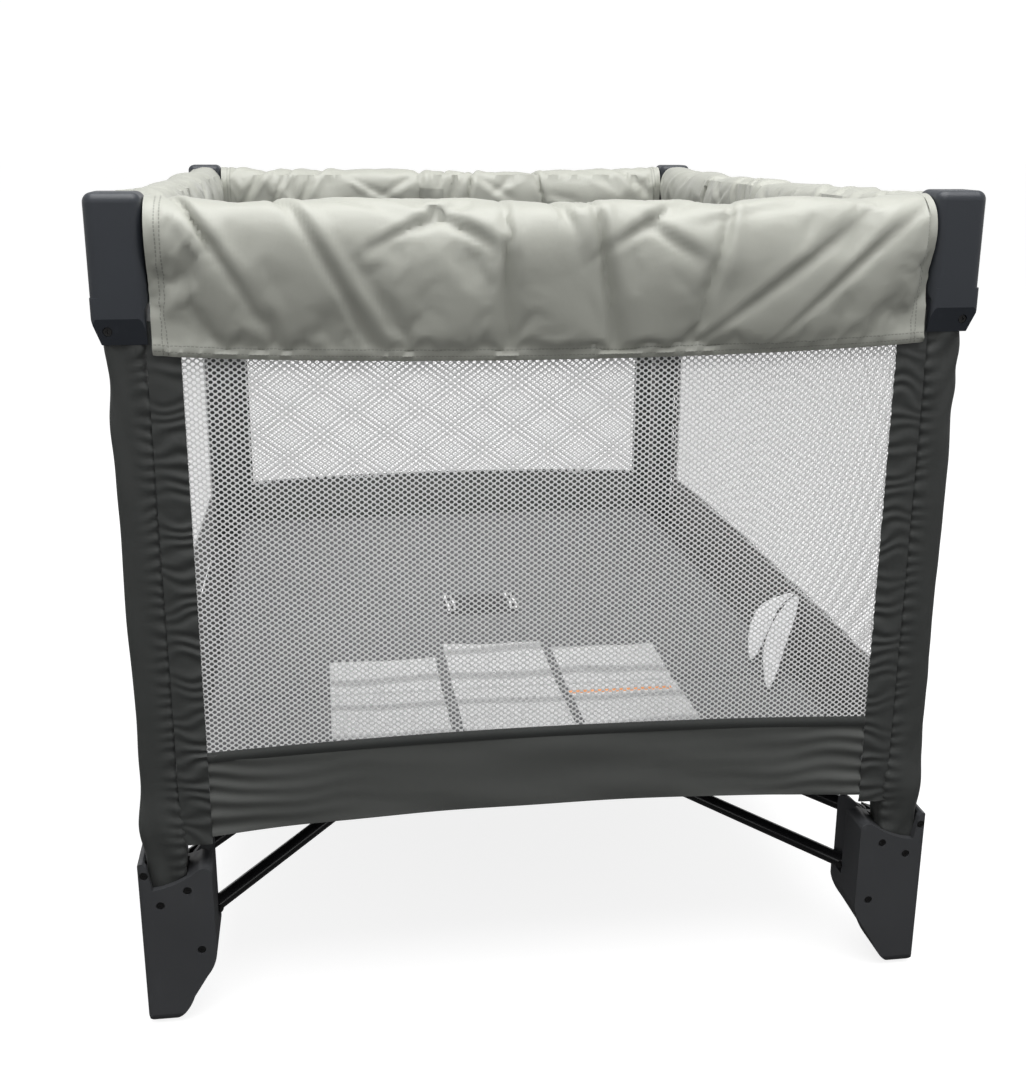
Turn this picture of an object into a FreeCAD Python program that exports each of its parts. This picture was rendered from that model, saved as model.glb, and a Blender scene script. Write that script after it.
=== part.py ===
"""Folding travel play yard: posts, folding rails, floor frame, hub, pad and soft walls.

Frame: +Z up, +Y to the rear, origin on the floor under the hub. Millimetres.
Floor bars hinge on the hub and the feet, rails hinge on the corner caps and the centre latches,
and the bar and rail lengths match, so the whole frame closes with equal angles everywhere.
"""
import FreeCAD, Part
import math
import os

V = FreeCAD.Vector

# ---- driving dimensions -------------------------------------------------------------------------
WIDTH = 725.0            # over the caps, X
LENGTH = 975.0           # over the caps, Y
HEIGHT = 730.0           # to the top of the caps

CAP = 44.0               # side of the square cap
CAP_BOTTOM = 635.0
CAP_EDGE = 9.0           # radius of its upright edges
CAP_TOP_EDGE = 7.5
CAP_LOW_CORNER = 16.0    # radius of the lower corner beside each rail
CAP_WEB = 8.0            # how far the hinge ears root into the cap
NECK_BOTTOM = 614.0
NECK_EDGE = 5.0
NECK_INSET = 3.2         # the bevelled neck face, in from the cap's face at its screws
POST_INSET = 24.0        # post axis in from the outer face of the cap
TUBE = 25.0              # square post tube
TUBE_WALL = 1.2
TUBE_BOTTOM = 22.0
TUBE_TOP = 704.0
TUBE_EDGE = 3.0
SLEEVE = 35.0            # square fabric sleeve
SLEEVE_BOTTOM = 126.0
SLEEVE_EDGE = 6.0
FOOT = 64.0              # side of the foot in plan
FOOT_TOP = 163.0
FOOT_EDGE = 5.0

BAR_R = 7.0              # floor bar tube radius
BAR_BORE_R = 5.8
BAR_PLUG = 14.0          # solid stretch at each end, round the pin
BAR_ROOM = 1.0           # beside a bar in its slot in the foot
BAR_LOW_Z = 90.0         # lower bar pivots
BAR_HIGH_Z = 138.0       # upper bar pivots
HUB_PIVOT = 29.0         # hub pivot, X and Y from the middle
FOOT_PIVOT_INSET = 26.5  # foot pivot, X and Y in from the post axis
BAR_SHIFT = 10.0         # each bar of a pair sits this far beside the pivot line
PIN_R = 3.0
PIN_HOLE_R = 3.08        # running hole round a pin
FORK_WALL = 3.0
FORK_OUTER = 18.5        # middle of the outer fork plates, beside the pivot line
FORK_NOSE = 9.0          # how far a fork plate stands past its pin
FORK_ROOT = 30.0         # and back into the hub, middle plate and outer plates
FORK_OUTER_ROOT = 24.0

HUB_COLUMN_R = 18.0
HUB_FLARE = 8.0          # how much wider the column's foot is
HUB_FLARE_TOP = 24.0
HUB_PLATE_R = 60.0
HUB_PLATE_Z = 148.0
HUB_PLATE = 6.0
HUB_DOME_R = 34.0        # dome under the floor, at the plate and at its top
HUB_DOME_TOP_R = 24.0
HUB_TOP = 181.0
HUB_SLOT_HALF = 14.0     # slots that the pull strap is sewn through
HUB_SLOT_DEPTH = 12.0

RAIL_R = 10.0
RAIL_BORE_R = 8.8
RAIL_PLUG = 18.0
RAIL_Z = 704.0
LATCH_PIVOT = 22.0       # latch pivots, each side of the middle
EAR_INNER = 11.0         # cap ears and latch cheeks: inner and outer faces from the rail axis
EAR_OUTER = 14.0
LATCH_HALF = 35.0
LATCH_BOTTOM = 689.0
LATCH_ROUND = 9.0
BUTTON_R = 6.0
BUTTON_ROOM = 0.3        # round the button's stem
BUTTON_TOP_GAP = 6.0     # its stem ends this far below the rail axis
BUTTON_EDGE = 3.0
BUTTON_PAD = 6.0         # thickness of the button's pad
BUTTON_PAD_HALF = 8.0
BUTTON_TRAVEL = 4.0

SCREW_R = 1.8
SCREW_HEAD_R = 3.2
SCREW_HEAD = 1.6
SCREW_SHANK = 6.0
RECESS_R = 3.8
RECESS_DEPTH = 2.2
SCREW_CROSS_R = 0.6      # drive recess: radius of each stroke, and its reach across the head
SCREW_CROSS_REACH = 0.55
SCREW_CROSS_DEPTH = 0.5
CAP_SCREW_Z = 625.0
CAP_SCREW_SHIFT = 12.0   # towards the outside from the post axis
FOOT_SCREWS = ((18.0, 121.0), (42.0, 134.0), (51.0, 74.0))   # inward from the outer face, height
COLLAR_SCREW = (5.5, 151.0)
SIDE_SCREW = (28.0, 112.0)   # inward from the post axis, height

WALL_SHIFT = 15.2        # wall cloth stands this far outside the post axis
WALL_HALF = 1.0
WALL_BOTTOM = 178.0
WALL_TOP = 632.0
COVER_R = 25.0           # padded top of a rail cover
COVER_CAVITY_R = 22.0
COVER_SHIFT = 4.0        # its middle stands this far outside the post axis
COVER_Z = 705.0
COVER_BOTTOM = 606.0
COVER_HEM_HALF = 4.5
COVER_SLOT_HALF = 1.6

FLOOR_Z = 182.0
FLOOR_THICK = 2.5
PAD_BOTTOM = 186.0
PAD_THICK = 22.0
PAD_HALF_X = 315.0
PAD_PITCH = 232.0
PAD_GAP = 0.3            # left free at each edge of a pad panel
PAD_CORNER = 8.0
PAD_TOP_EDGE = 5.0
STRAP_HALF = 46.0
STRAP_WIDTH = 25.0
STRAP_REACH = 58.0       # depth of the flap that lies on the pad
STRAP_THICK = 2.0
STRAP_LIFT = 3.0         # the flap stands this far over the pad
SLIT_HALF = 3.0          # slit for the strap in the floor and the pad
SLIT_ROOM = 2.0          # and the slit's extra length at each end
SOFT_GAP = 0.4

# ---- worked-out places --------------------------------------------------------------------------
POST_X = WIDTH / 2 - POST_INSET
POST_Y = LENGTH / 2 - POST_INSET
PIVOT_X = POST_X - FOOT_PIVOT_INSET
PIVOT_Y = POST_Y - FOOT_PIVOT_INSET
REACH_X = PIVOT_X - HUB_PIVOT            # how far each bar reaches, and each half rail
REACH_Y = PIVOT_Y - HUB_PIVOT
BAR_LENGTH = math.hypot(REACH_X, REACH_Y)
BAR_ANGLE = math.degrees(math.atan2(REACH_Y, REACH_X))
RAIL_PIVOT_X = LATCH_PIVOT + REACH_X     # rail pivot in the caps, front and rear rails
RAIL_PIVOT_Y = LATCH_PIVOT + REACH_Y     # and the side rails
X_OUT = WIDTH / 2
Y_OUT = LENGTH / 2
N = V(-REACH_Y / BAR_LENGTH, REACH_X / BAR_LENGTH, 0)        # level, square to the +X +Y bar
BAR_PIN_HALF = FORK_OUTER / 2 + FORK_WALL / 2
UPRIGHT = 0.9            # an edge whose direction has at least this share of an axis follows it

CORNERS = {"fl": (-1, -1), "fr": (1, -1), "rl": (-1, 1), "rr": (1, 1)}


# ---- helpers ------------------------------------------------------------------------------------
def box(x0, x1, y0, y1, z0, z1):
    return Part.makeBox(x1 - x0, y1 - y0, z1 - z0, V(x0, y0, z0))


def square(x, y, side, z0, z1):
    half = side / 2
    return box(x - half, x + half, y - half, y + half, z0, z1)


def rod(start, axis, radius, length):
    return Part.makeCylinder(radius, length, start, axis)


def fused(shapes):
    return shapes[0].multiFuse(shapes[1:]).removeSplitter()


def mirrored(shape, sx, sy):
    """A shape made for the corner at +X +Y, moved to the corner with these signs."""
    if sx < 0:
        shape = shape.mirror(V(0, 0, 0), V(1, 0, 0))
    if sy < 0:
        shape = shape.mirror(V(0, 0, 0), V(0, 1, 0))
    return shape


def along_bar(shape, x, y):
    """A shape made along +X from the origin, turned into the direction of the +X +Y bar."""
    turned = shape.copy()
    turned.rotate(V(0, 0, 0), V(0, 0, 1), BAR_ANGLE)
    turned.translate(V(x, y, 0))
    return turned


def rounded(shape, radius, keep):
    """Round the edges that keep() picks by their middle point and direction."""
    picked = []
    for edge in shape.Edges:
        ends = [v.Point for v in edge.Vertexes]
        if len(ends) == 2 and keep((ends[0] + ends[1]) * 0.5, (ends[1] - ends[0]).normalize()):
            picked.append(edge)
    return shape.makeFillet(radius, picked)


def outline(*steps):
    """Closed outline of lines and three-point arcs: a step is a point, or (middle, end) of an arc."""
    edges = []
    here = steps[0]
    for step in steps[1:]:
        if isinstance(step, tuple):
            edges.append(Part.Arc(here, step[0], step[1]).toShape())
            here = step[1]
        else:
            edges.append(Part.LineSegment(here, step).toShape())
            here = step
    if (here - steps[0]).Length > 1e-6:
        edges.append(Part.LineSegment(here, steps[0]).toShape())
    return Part.Face(Part.Wire(edges))


def save(name, shape):
    if isinstance(shape, list):
        shape = Part.makeCompound(shape)
    shape.exportStep("parts/%s.step" % name)


# ---- pins and screws ----------------------------------------------------------------------------
def screw(point, outward):
    """A pan-head screw with a cross recess, sunk below the face at point."""
    seat = point - outward * RECESS_DEPTH
    head = rod(seat, outward, SCREW_HEAD_R, SCREW_HEAD)
    body = rod(seat - outward * SCREW_SHANK, outward, SCREW_R, SCREW_SHANK)
    across = V(0, 0, 1).cross(outward)
    top = seat + outward * (SCREW_HEAD - SCREW_CROSS_DEPTH)
    reach = SCREW_CROSS_REACH * SCREW_HEAD_R
    cross = [rod(top - line * reach, line, SCREW_CROSS_R, 2 * reach)
             for line in (across, V(0, 0, 1))]
    return head.fuse(body).cut(cross[0]).cut(cross[1]).removeSplitter()


def screw_hole(point, outward):
    """Recess for the head and hole for the shank."""
    seat = point - outward * RECESS_DEPTH
    recess = rod(seat, outward, RECESS_R, RECESS_DEPTH + 2)
    return recess.fuse(rod(seat - outward * SCREW_SHANK, outward, SCREW_R, SCREW_SHANK))


def pin(point, axis, half):
    return rod(point - axis * half, axis, PIN_R, 2 * half)


def pin_hole(point, axis, half, radius=PIN_R):
    return rod(point - axis * half, axis, radius, 2 * half)


# ---- corner post, made at +X +Y -----------------------------------------------------------------
def bar_pin_centre(x, y, side, z):
    """Middle of the pin of one bar; side +1 is the lower bar's side, -1 the upper bar's."""
    return V(x, y, z) + N * (side * FORK_OUTER / 2)


def corner_screws():
    """(point, outward) of each screw of the corner at +X +Y."""
    shift = CAP_SCREW_SHIFT
    places = [(V(POST_X + shift, Y_OUT - NECK_INSET, CAP_SCREW_Z), V(0, 1, 0)),
              (V(X_OUT - NECK_INSET, POST_Y + shift, CAP_SCREW_Z), V(1, 0, 0)),
              (V(X_OUT, POST_Y - SIDE_SCREW[0], SIDE_SCREW[1]), V(1, 0, 0)),
              (V(X_OUT - COLLAR_SCREW[0], Y_OUT, COLLAR_SCREW[1]), V(0, 1, 0))]
    for inward, height in FOOT_SCREWS:
        places.append((V(X_OUT - inward, Y_OUT, height), V(0, 1, 0)))
    return places


def corner_pins():
    """(point, axis, half length) of each hinge pin of the corner at +X +Y."""
    return [(V(RAIL_PIVOT_X, POST_Y, RAIL_Z), V(0, 1, 0), EAR_OUTER),
            (V(POST_X, RAIL_PIVOT_Y, RAIL_Z), V(1, 0, 0), EAR_OUTER),
            (bar_pin_centre(PIVOT_X, PIVOT_Y, 1, BAR_LOW_Z), N, BAR_PIN_HALF),
            (bar_pin_centre(PIVOT_X, PIVOT_Y, -1, BAR_HIGH_Z), N, BAR_PIN_HALF)]


def drilled(shape):
    """Cut every screw and pin hole of the corner out of a piece of it."""
    holes = [screw_hole(point, outward) for point, outward in corner_screws()]
    holes += [pin_hole(*place) for place in corner_pins()]
    return shape.cut(Part.makeCompound(holes))


def post_tube():
    outer = rounded(square(POST_X, POST_Y, TUBE, TUBE_BOTTOM, TUBE_TOP), TUBE_EDGE,
                    lambda p, d: abs(d.z) > UPRIGHT)
    bore = square(POST_X, POST_Y, TUBE - 2 * TUBE_WALL, TUBE_BOTTOM, TUBE_TOP)
    return drilled(outer.cut(bore))


def post_sleeve():
    outer = rounded(square(POST_X, POST_Y, SLEEVE, SLEEVE_BOTTOM, NECK_BOTTOM), SLEEVE_EDGE,
                    lambda p, d: abs(d.z) > UPRIGHT)
    return outer.cut(square(POST_X, POST_Y, TUBE + 1.0, SLEEVE_BOTTOM, NECK_BOTTOM))


def corner_cap():
    centre_x = X_OUT - CAP / 2
    centre_y = Y_OUT - CAP / 2
    block = square(centre_x, centre_y, CAP, CAP_BOTTOM, HEIGHT)
    block = rounded(block, CAP_EDGE, lambda p, d: abs(d.z) > UPRIGHT)
    block = rounded(block, CAP_TOP_EDGE, lambda p, d: p.z > HEIGHT - 1)
    low_corner = V(X_OUT - CAP, Y_OUT, CAP_BOTTOM)
    radius = CAP_LOW_CORNER
    cutters = []
    for axis_point, axis in ((low_corner + V(radius, -CAP, radius), V(0, 1, 0)),
                             (V(X_OUT - CAP, Y_OUT - CAP + radius, CAP_BOTTOM + radius),
                              V(1, 0, 0))):
        if axis.y:
            corner = box(X_OUT - CAP - 1, X_OUT - CAP + radius, Y_OUT - CAP - 1, Y_OUT + 1,
                         CAP_BOTTOM - 1, CAP_BOTTOM + radius)
        else:
            corner = box(X_OUT - CAP - 1, X_OUT + 1, Y_OUT - CAP - 1, Y_OUT - CAP + radius,
                         CAP_BOTTOM - 1, CAP_BOTTOM + radius)
        cutters.append(corner.cut(rod(axis_point - axis * 5, axis, radius, CAP + 10)))
    block = block.cut(cutters[0]).cut(cutters[1])
    inner = SLEEVE / 2
    neck = box(POST_X - inner, X_OUT, POST_Y - inner, Y_OUT, NECK_BOTTOM + 0.2,
               CAP_BOTTOM + radius)
    neck = rounded(neck, NECK_EDGE, lambda p, d: abs(d.z) > UPRIGHT)
    for direction in (V(1, 0, 0), V(0, 1, 0)):
        neck = neck.cut(neck_bevel(direction))
    ears = []
    for side in (-1, 1):
        near, far = sorted((side * EAR_INNER, side * EAR_OUTER))
        ears.append(ear(RAIL_PIVOT_X, X_OUT - CAP + CAP_WEB, lambda a0, a1, z0, z1, n=near, f=far: box(
            a0, a1, POST_Y + n, POST_Y + f, z0, z1), V(RAIL_PIVOT_X, POST_Y + near, RAIL_Z),
            V(0, 1, 0)))
        ears.append(ear(RAIL_PIVOT_Y, Y_OUT - CAP + CAP_WEB, lambda a0, a1, z0, z1, n=near, f=far: box(
            POST_X + n, POST_X + f, a0, a1, z0, z1), V(POST_X + near, RAIL_PIVOT_Y, RAIL_Z),
            V(1, 0, 0)))
    whole = fused([block, neck] + ears)
    socket = square(POST_X, POST_Y, TUBE, NECK_BOTTOM, TUBE_TOP)
    return drilled(whole.cut(rounded(socket, TUBE_EDGE, lambda p, d: abs(d.z) > UPRIGHT)))


def neck_bevel(outward):
    """Wedge that brings an outer face of the neck in from the cap's face to the sleeve's."""
    step = POST_INSET - SLEEVE / 2
    corner = V(X_OUT, Y_OUT, 0)
    along = V(outward.y, outward.x, 0)
    start = corner - along * (2 * CAP)
    face = outline(start + outward + V(0, 0, NECK_BOTTOM - 1),
                   start + outward + V(0, 0, CAP_BOTTOM),
                   start + V(0, 0, CAP_BOTTOM),
                   start - outward * step + V(0, 0, NECK_BOTTOM),
                   start - outward * step + V(0, 0, NECK_BOTTOM - 1))
    return face.extrude(along * (3 * CAP))


def ear(pivot, root, plate, centre, axis):
    """One hinge ear: a plate from the cap with a round nose about the rail pivot."""
    nose = rod(centre, axis, RAIL_R, EAR_OUTER - EAR_INNER)
    return plate(pivot, root, RAIL_Z - RAIL_R, RAIL_Z + RAIL_R).fuse(nose)


def foot_outline(place, top):
    """Side view of the foot under a given top edge; place(inward, height) gives the point."""
    return outline(
        *top,
        place(FOOT, 68),
        (place(61, 57), place(55, 47)),
        place(42, 26),
        (place(33, 10), place(21, 0)),
        place(11, 0),
        (place(3.2, 3.8), place(0, 14)),
        top[0])


def foot():
    def in_front(inward, height):
        return V(X_OUT - inward, Y_OUT - FOOT, height)

    def from_side(inward, height):
        return V(X_OUT - FOOT, Y_OUT - inward, height)

    scooped = [in_front(0, FOOT_TOP - 5), (in_front(2, FOOT_TOP - 1), in_front(5, FOOT_TOP)),
               in_front(8, FOOT_TOP - 4), in_front(12, 136), (in_front(34, 142), in_front(52, 153)),
               (in_front(60, 154), in_front(FOOT, 150))]
    plain = [from_side(0, FOOT_TOP), from_side(40, FOOT_TOP),
             (from_side(56, 160), from_side(FOOT, 150))]
    front = foot_outline(in_front, scooped).extrude(V(0, FOOT, 0))
    side = foot_outline(from_side, plain).extrude(V(FOOT, 0, 0))
    blank = rounded(box(X_OUT - FOOT, X_OUT, Y_OUT - FOOT, Y_OUT, 0, FOOT_TOP), FOOT_EDGE,
                    lambda p, d: abs(d.z) > UPRIGHT and p.x > X_OUT - 1 and p.y > Y_OUT - 1)
    body = front.common(side).common(blank)
    slot_half = BAR_R + BAR_ROOM
    end = BAR_R + 2 * BAR_ROOM
    slots = []
    for side_sign, z in ((1, BAR_LOW_Z), (-1, BAR_HIGH_Z)):
        middle = side_sign * BAR_SHIFT
        slot = box(-2 * FOOT, end, middle - slot_half, middle + slot_half, z - end, HEIGHT / 2)
        slots.append(along_bar(slot, PIVOT_X, PIVOT_Y))
    socket = square(POST_X, POST_Y, TUBE, TUBE_BOTTOM, HEIGHT / 2)
    socket = rounded(socket, TUBE_EDGE, lambda p, d: abs(d.z) > UPRIGHT)
    pocket = square(POST_X, POST_Y, SLEEVE + SOFT_GAP, SLEEVE_BOTTOM - SOFT_GAP, HEIGHT / 2)
    return drilled(body.cut(Part.makeCompound(slots)).cut(socket).cut(pocket))


def corner_fasteners():
    pieces = [screw(point, outward) for point, outward in corner_screws()]
    return pieces + [pin(*place) for place in corner_pins()]


# ---- floor bars and hub -------------------------------------------------------------------------
def floor_bar(side, z):
    """A bar with closed round ends, made for the corner at +X +Y."""
    start = V(0, side * BAR_SHIFT, z)
    tube = rod(start, V(1, 0, 0), BAR_R, BAR_LENGTH)
    ends = [Part.makeSphere(BAR_R, start), Part.makeSphere(BAR_R, start + V(BAR_LENGTH, 0, 0))]
    bore = rod(start + V(BAR_PLUG, 0, 0), V(1, 0, 0), BAR_BORE_R, BAR_LENGTH - 2 * BAR_PLUG)
    bar = fused([tube] + ends).cut(bore)
    for at in (0, BAR_LENGTH):
        bar = bar.cut(pin_hole(start + V(at, 0, 0), V(0, 1, 0), 2 * BAR_R, PIN_HOLE_R))
    return along_bar(bar, HUB_PIVOT, HUB_PIVOT)


def hub_forks():
    """The three fork plates of the corner at +X +Y."""
    nose = FORK_NOSE
    plates = []
    for middle, z0, root in ((0, BAR_LOW_Z - nose, FORK_ROOT),
                             (FORK_OUTER, BAR_LOW_Z - nose, FORK_OUTER_ROOT),
                             (-FORK_OUTER, BAR_HIGH_Z - nose, FORK_OUTER_ROOT)):
        plate = box(-root, nose, middle - FORK_WALL / 2, middle + FORK_WALL / 2, z0,
                    HUB_PLATE_Z + 1)
        plate = rounded(plate, nose - 1, lambda p, d: abs(d.y) > UPRIGHT and p.z < z0 + 1 and p.x > 0)
        plates.append(along_bar(plate, HUB_PIVOT, HUB_PIVOT))
    return plates


def hub_body():
    column = Part.makeCylinder(HUB_COLUMN_R, HUB_PLATE_Z, V(0, 0, 0))
    flare = Part.makeCone(HUB_COLUMN_R + HUB_FLARE, HUB_COLUMN_R, HUB_FLARE_TOP, V(0, 0, 0))
    plate = Part.makeCylinder(HUB_PLATE_R, HUB_PLATE, V(0, 0, HUB_PLATE_Z))
    dome_bottom = HUB_PLATE_Z + HUB_PLATE
    dome = Part.makeCone(HUB_DOME_R, HUB_DOME_TOP_R, HUB_TOP - dome_bottom, V(0, 0, dome_bottom))
    pieces = [column, flare, plate, dome]
    for sx, sy in CORNERS.values():
        pieces += [mirrored(plate_piece, sx, sy) for plate_piece in hub_forks()]
    body = fused(pieces)
    holes = [mirrored(pin_hole(*place), sx, sy) for sx, sy in CORNERS.values()
             for place in hub_pin_places()]
    body = body.cut(Part.makeCompound(holes))
    strap_slots = []
    for side in (-1, 1):
        middle = side * STRAP_HALF * 0.4
        strap_slots.append(box(middle - HUB_SLOT_HALF, middle + HUB_SLOT_HALF, -1.6, 1.6,
                               HUB_TOP - HUB_SLOT_DEPTH, HUB_TOP + 1))
    return body.cut(Part.makeCompound(strap_slots))


def hub_pin_places():
    return [(bar_pin_centre(HUB_PIVOT, HUB_PIVOT, 1, BAR_LOW_Z), N, BAR_PIN_HALF),
            (bar_pin_centre(HUB_PIVOT, HUB_PIVOT, -1, BAR_HIGH_Z), N, BAR_PIN_HALF)]


def hub_pins():
    return [mirrored(pin(*place), sx, sy) for sx, sy in CORNERS.values()
            for place in hub_pin_places()]


# ---- rails and latches --------------------------------------------------------------------------
def half_rail(pivot):
    """A half rail along +X from the latch pivot to the cap pivot, its axis on Y = 0."""
    start = V(LATCH_PIVOT, 0, RAIL_Z)
    reach = pivot - LATCH_PIVOT
    tube = rod(start, V(1, 0, 0), RAIL_R, reach)
    ends = [Part.makeSphere(RAIL_R, start), Part.makeSphere(RAIL_R, start + V(reach, 0, 0))]
    bore = rod(start + V(RAIL_PLUG, 0, 0), V(1, 0, 0), RAIL_BORE_R, reach - 2 * RAIL_PLUG)
    rail = fused([tube] + ends).cut(bore)
    for at in (0, reach):
        rail = rail.cut(pin_hole(start + V(at, 0, 0), V(0, 1, 0), 2 * RAIL_R, PIN_HOLE_R))
    return rail


def latch_housing():
    """Channel under the two rail ends, open above, with its two rivets and a button bore."""
    shell = box(-LATCH_HALF, LATCH_HALF, -EAR_OUTER, EAR_OUTER, LATCH_BOTTOM, RAIL_Z + RAIL_R)
    shell = rounded(shell, LATCH_ROUND, lambda p, d: abs(d.x) > UPRIGHT and p.z < RAIL_Z)
    hollow = box(-LATCH_HALF - 1, LATCH_HALF + 1, -EAR_INNER, EAR_INNER,
                 RAIL_Z - RAIL_R - 1, HEIGHT)
    bore = Part.makeCylinder(BUTTON_R + BUTTON_ROOM, HEIGHT, V(0, 0, 0))
    shell = shell.cut(hollow).cut(bore)
    rivets = []
    for side in (-1, 1):
        place = (V(side * LATCH_PIVOT, 0, RAIL_Z), V(0, 1, 0), EAR_OUTER)
        shell = shell.cut(pin_hole(*place))
        rivets.append(pin(*place))
    return [shell] + rivets


def latch_button():
    """Sprung button pushed up from below to free the rails; its pad stays its travel clear."""
    pad_top = LATCH_BOTTOM - BUTTON_TRAVEL - 1
    half = BUTTON_PAD_HALF
    pad = box(-half, half, -half, half, pad_top - BUTTON_PAD, pad_top)
    pad = rounded(pad, BUTTON_EDGE, lambda p, d: abs(d.z) > UPRIGHT)
    stem = Part.makeCylinder(BUTTON_R, RAIL_Z - BUTTON_TOP_GAP - pad_top, V(0, 0, pad_top))
    return fused([pad, stem])


# side: (turn about Z, middle of the rail axis, cap pivot along the rail, names of its two halves)
SIDES = {"front": (0, V(0, -POST_Y, 0), RAIL_PIVOT_X, ("right", "left")),
         "rear": (0, V(0, POST_Y, 0), RAIL_PIVOT_X, ("right", "left")),
         "left": (90, V(-POST_X, 0, 0), RAIL_PIVOT_Y, ("rear", "front")),
         "right": (90, V(POST_X, 0, 0), RAIL_PIVOT_Y, ("rear", "front"))}


def placed(shape, side):
    """A piece made on the X axis, carried to a side of the yard."""
    turn, offset = SIDES[side][0], SIDES[side][1]
    moved = shape.copy()
    moved.rotate(V(0, 0, 0), V(0, 0, 1), turn)
    moved.translate(offset)
    return moved


# ---- soft goods ---------------------------------------------------------------------------------
def wall(half_length):
    """Wall cloth along X, between the sleeves, its outside towards -Y."""
    return box(-half_length, half_length, -WALL_SHIFT - WALL_HALF, -WALL_SHIFT + WALL_HALF,
               WALL_BOTTOM, WALL_TOP)


def rail_cover(half_length):
    """Padded sleeve over a rail along X: round top, two skirts down to a hem, outside at -Y."""
    def section(radius, hem, bottom):
        centre = V(-half_length, -COVER_SHIFT, COVER_Z)
        left, right, top = V(0, -radius, 0), V(0, radius, 0), V(0, 0, radius)
        return outline(centre + left, (centre + top, centre + right),
                       V(-half_length, -WALL_SHIFT + hem, bottom),
                       V(-half_length, -WALL_SHIFT - hem, bottom))
    run = V(2 * half_length, 0, 0)
    outer = section(COVER_R, COVER_HEM_HALF, COVER_BOTTOM).extrude(run)
    return outer.cut(section(COVER_CAVITY_R, COVER_SLOT_HALF, COVER_BOTTOM).extrude(run))


def side_soft(side, make, half_length):
    """Soft piece of one side, with its outside facing out of the yard."""
    shape = make(half_length)
    if side in ("rear", "left"):
        shape = shape.mirror(V(0, 0, 0), V(0, 1, 0))
    return placed(shape, side)


def floor_sheet():
    half_x = POST_X + WALL_SHIFT - WALL_HALF - SOFT_GAP
    half_y = POST_Y + WALL_SHIFT - WALL_HALF - SOFT_GAP
    sheet = box(-half_x, half_x, -half_y, half_y, FLOOR_Z, FLOOR_Z + FLOOR_THICK)
    room = SLEEVE + 2 * SOFT_GAP
    notches = []
    for sx, sy in CORNERS.values():
        reach = 2 * room
        notch = box(POST_X - room / 2, POST_X + reach, POST_Y - room / 2, POST_Y + reach,
                    FLOOR_Z - 1, FLOOR_Z + FLOOR_THICK + 1)
        notches.append(mirrored(notch, sx, sy))
    return sheet.cut(Part.makeCompound(notches + [strap_slit()]))


def strap_slit():
    half = STRAP_HALF + SLIT_ROOM
    return box(-half, half, -SLIT_HALF, SLIT_HALF, FLOOR_Z - 1, PAD_BOTTOM + 2 * PAD_THICK)


def pad_panel(number):
    y0 = (number - 3) * PAD_PITCH + PAD_GAP
    y1 = (number - 2) * PAD_PITCH - PAD_GAP
    panel = box(-PAD_HALF_X, PAD_HALF_X, y0, y1, PAD_BOTTOM, PAD_BOTTOM + PAD_THICK)
    panel = rounded(panel, PAD_CORNER, lambda p, d: abs(d.z) > UPRIGHT)
    panel = rounded(panel, PAD_TOP_EDGE, lambda p, d: p.z > PAD_BOTTOM + PAD_THICK - 1)
    return panel.cut(strap_slit())


def pull_strap():
    """Webbing: two legs up from the hub through the slit, and a flap lying on the pad."""
    top = PAD_BOTTOM + PAD_THICK + STRAP_LIFT
    half = STRAP_THICK / 2
    legs = []
    for side in (-1, 1):
        inner, outer = side * (STRAP_HALF - STRAP_WIDTH), side * STRAP_HALF
        x0, x1 = min(inner, outer), max(inner, outer)
        legs.append(box(x0, x1, -half, half, FLOOR_Z - 1, top))
    base = box(-STRAP_HALF, STRAP_HALF, -half, half, HUB_TOP, FLOOR_Z + 3)
    flap = box(-STRAP_HALF, STRAP_HALF, -half, STRAP_REACH, top, top + STRAP_THICK)
    return fused(legs + [base, flap])


# ---- everything ---------------------------------------------------------------------------------
def main():
    os.makedirs("parts", exist_ok=True)
    corner_pieces = {"post_tube": post_tube(), "post_sleeve": post_sleeve(),
                     "corner_cap": corner_cap(), "foot": foot()}
    fasteners = corner_fasteners()
    lower, upper = floor_bar(1, BAR_LOW_Z), floor_bar(-1, BAR_HIGH_Z)
    for corner, (sx, sy) in CORNERS.items():
        for name, shape in corner_pieces.items():
            save("%s_%s" % (name, corner), mirrored(shape, sx, sy))
        save("fasteners_" + corner, [mirrored(piece, sx, sy) for piece in fasteners])
        save("lower_bar_" + corner, mirrored(lower, sx, sy))
        save("upper_bar_" + corner, mirrored(upper, sx, sy))
    save("hub_body", hub_body())
    save("hub_pins", hub_pins())
    save("pull_strap", pull_strap())

    post_gap = SLEEVE / 2 + SOFT_GAP
    for side, (turn, offset, pivot, halves) in SIDES.items():
        rail = half_rail(pivot)
        other = rail.mirror(V(0, 0, 0), V(1, 0, 0))
        save("rail_%s_%s_half" % (side, halves[0]), placed(rail, side))
        save("rail_%s_%s_half" % (side, halves[1]), placed(other, side))
        save("latch_" + side, [placed(piece, side) for piece in latch_housing()])
        save("latch_button_" + side, placed(latch_button(), side))
        post, edge = (POST_Y, Y_OUT) if turn else (POST_X, X_OUT)
        save("wall_" + side, side_soft(side, wall, post - post_gap))
        save("rail_cover_" + side, side_soft(side, rail_cover, edge - CAP - 1))
    save("floor_sheet", floor_sheet())
    for number in (1, 2, 3, 4):
        save("pad_panel_%d" % number, pad_panel(number))


main()
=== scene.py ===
"""Travel play yard: cloth, padding, moulded parts and studio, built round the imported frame."""
import math

import bmesh
import bpy
import numpy as np
from mathutils import Matrix, Vector
from bpy.props import FloatProperty, FloatVectorProperty, IntProperty, PointerProperty


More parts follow.
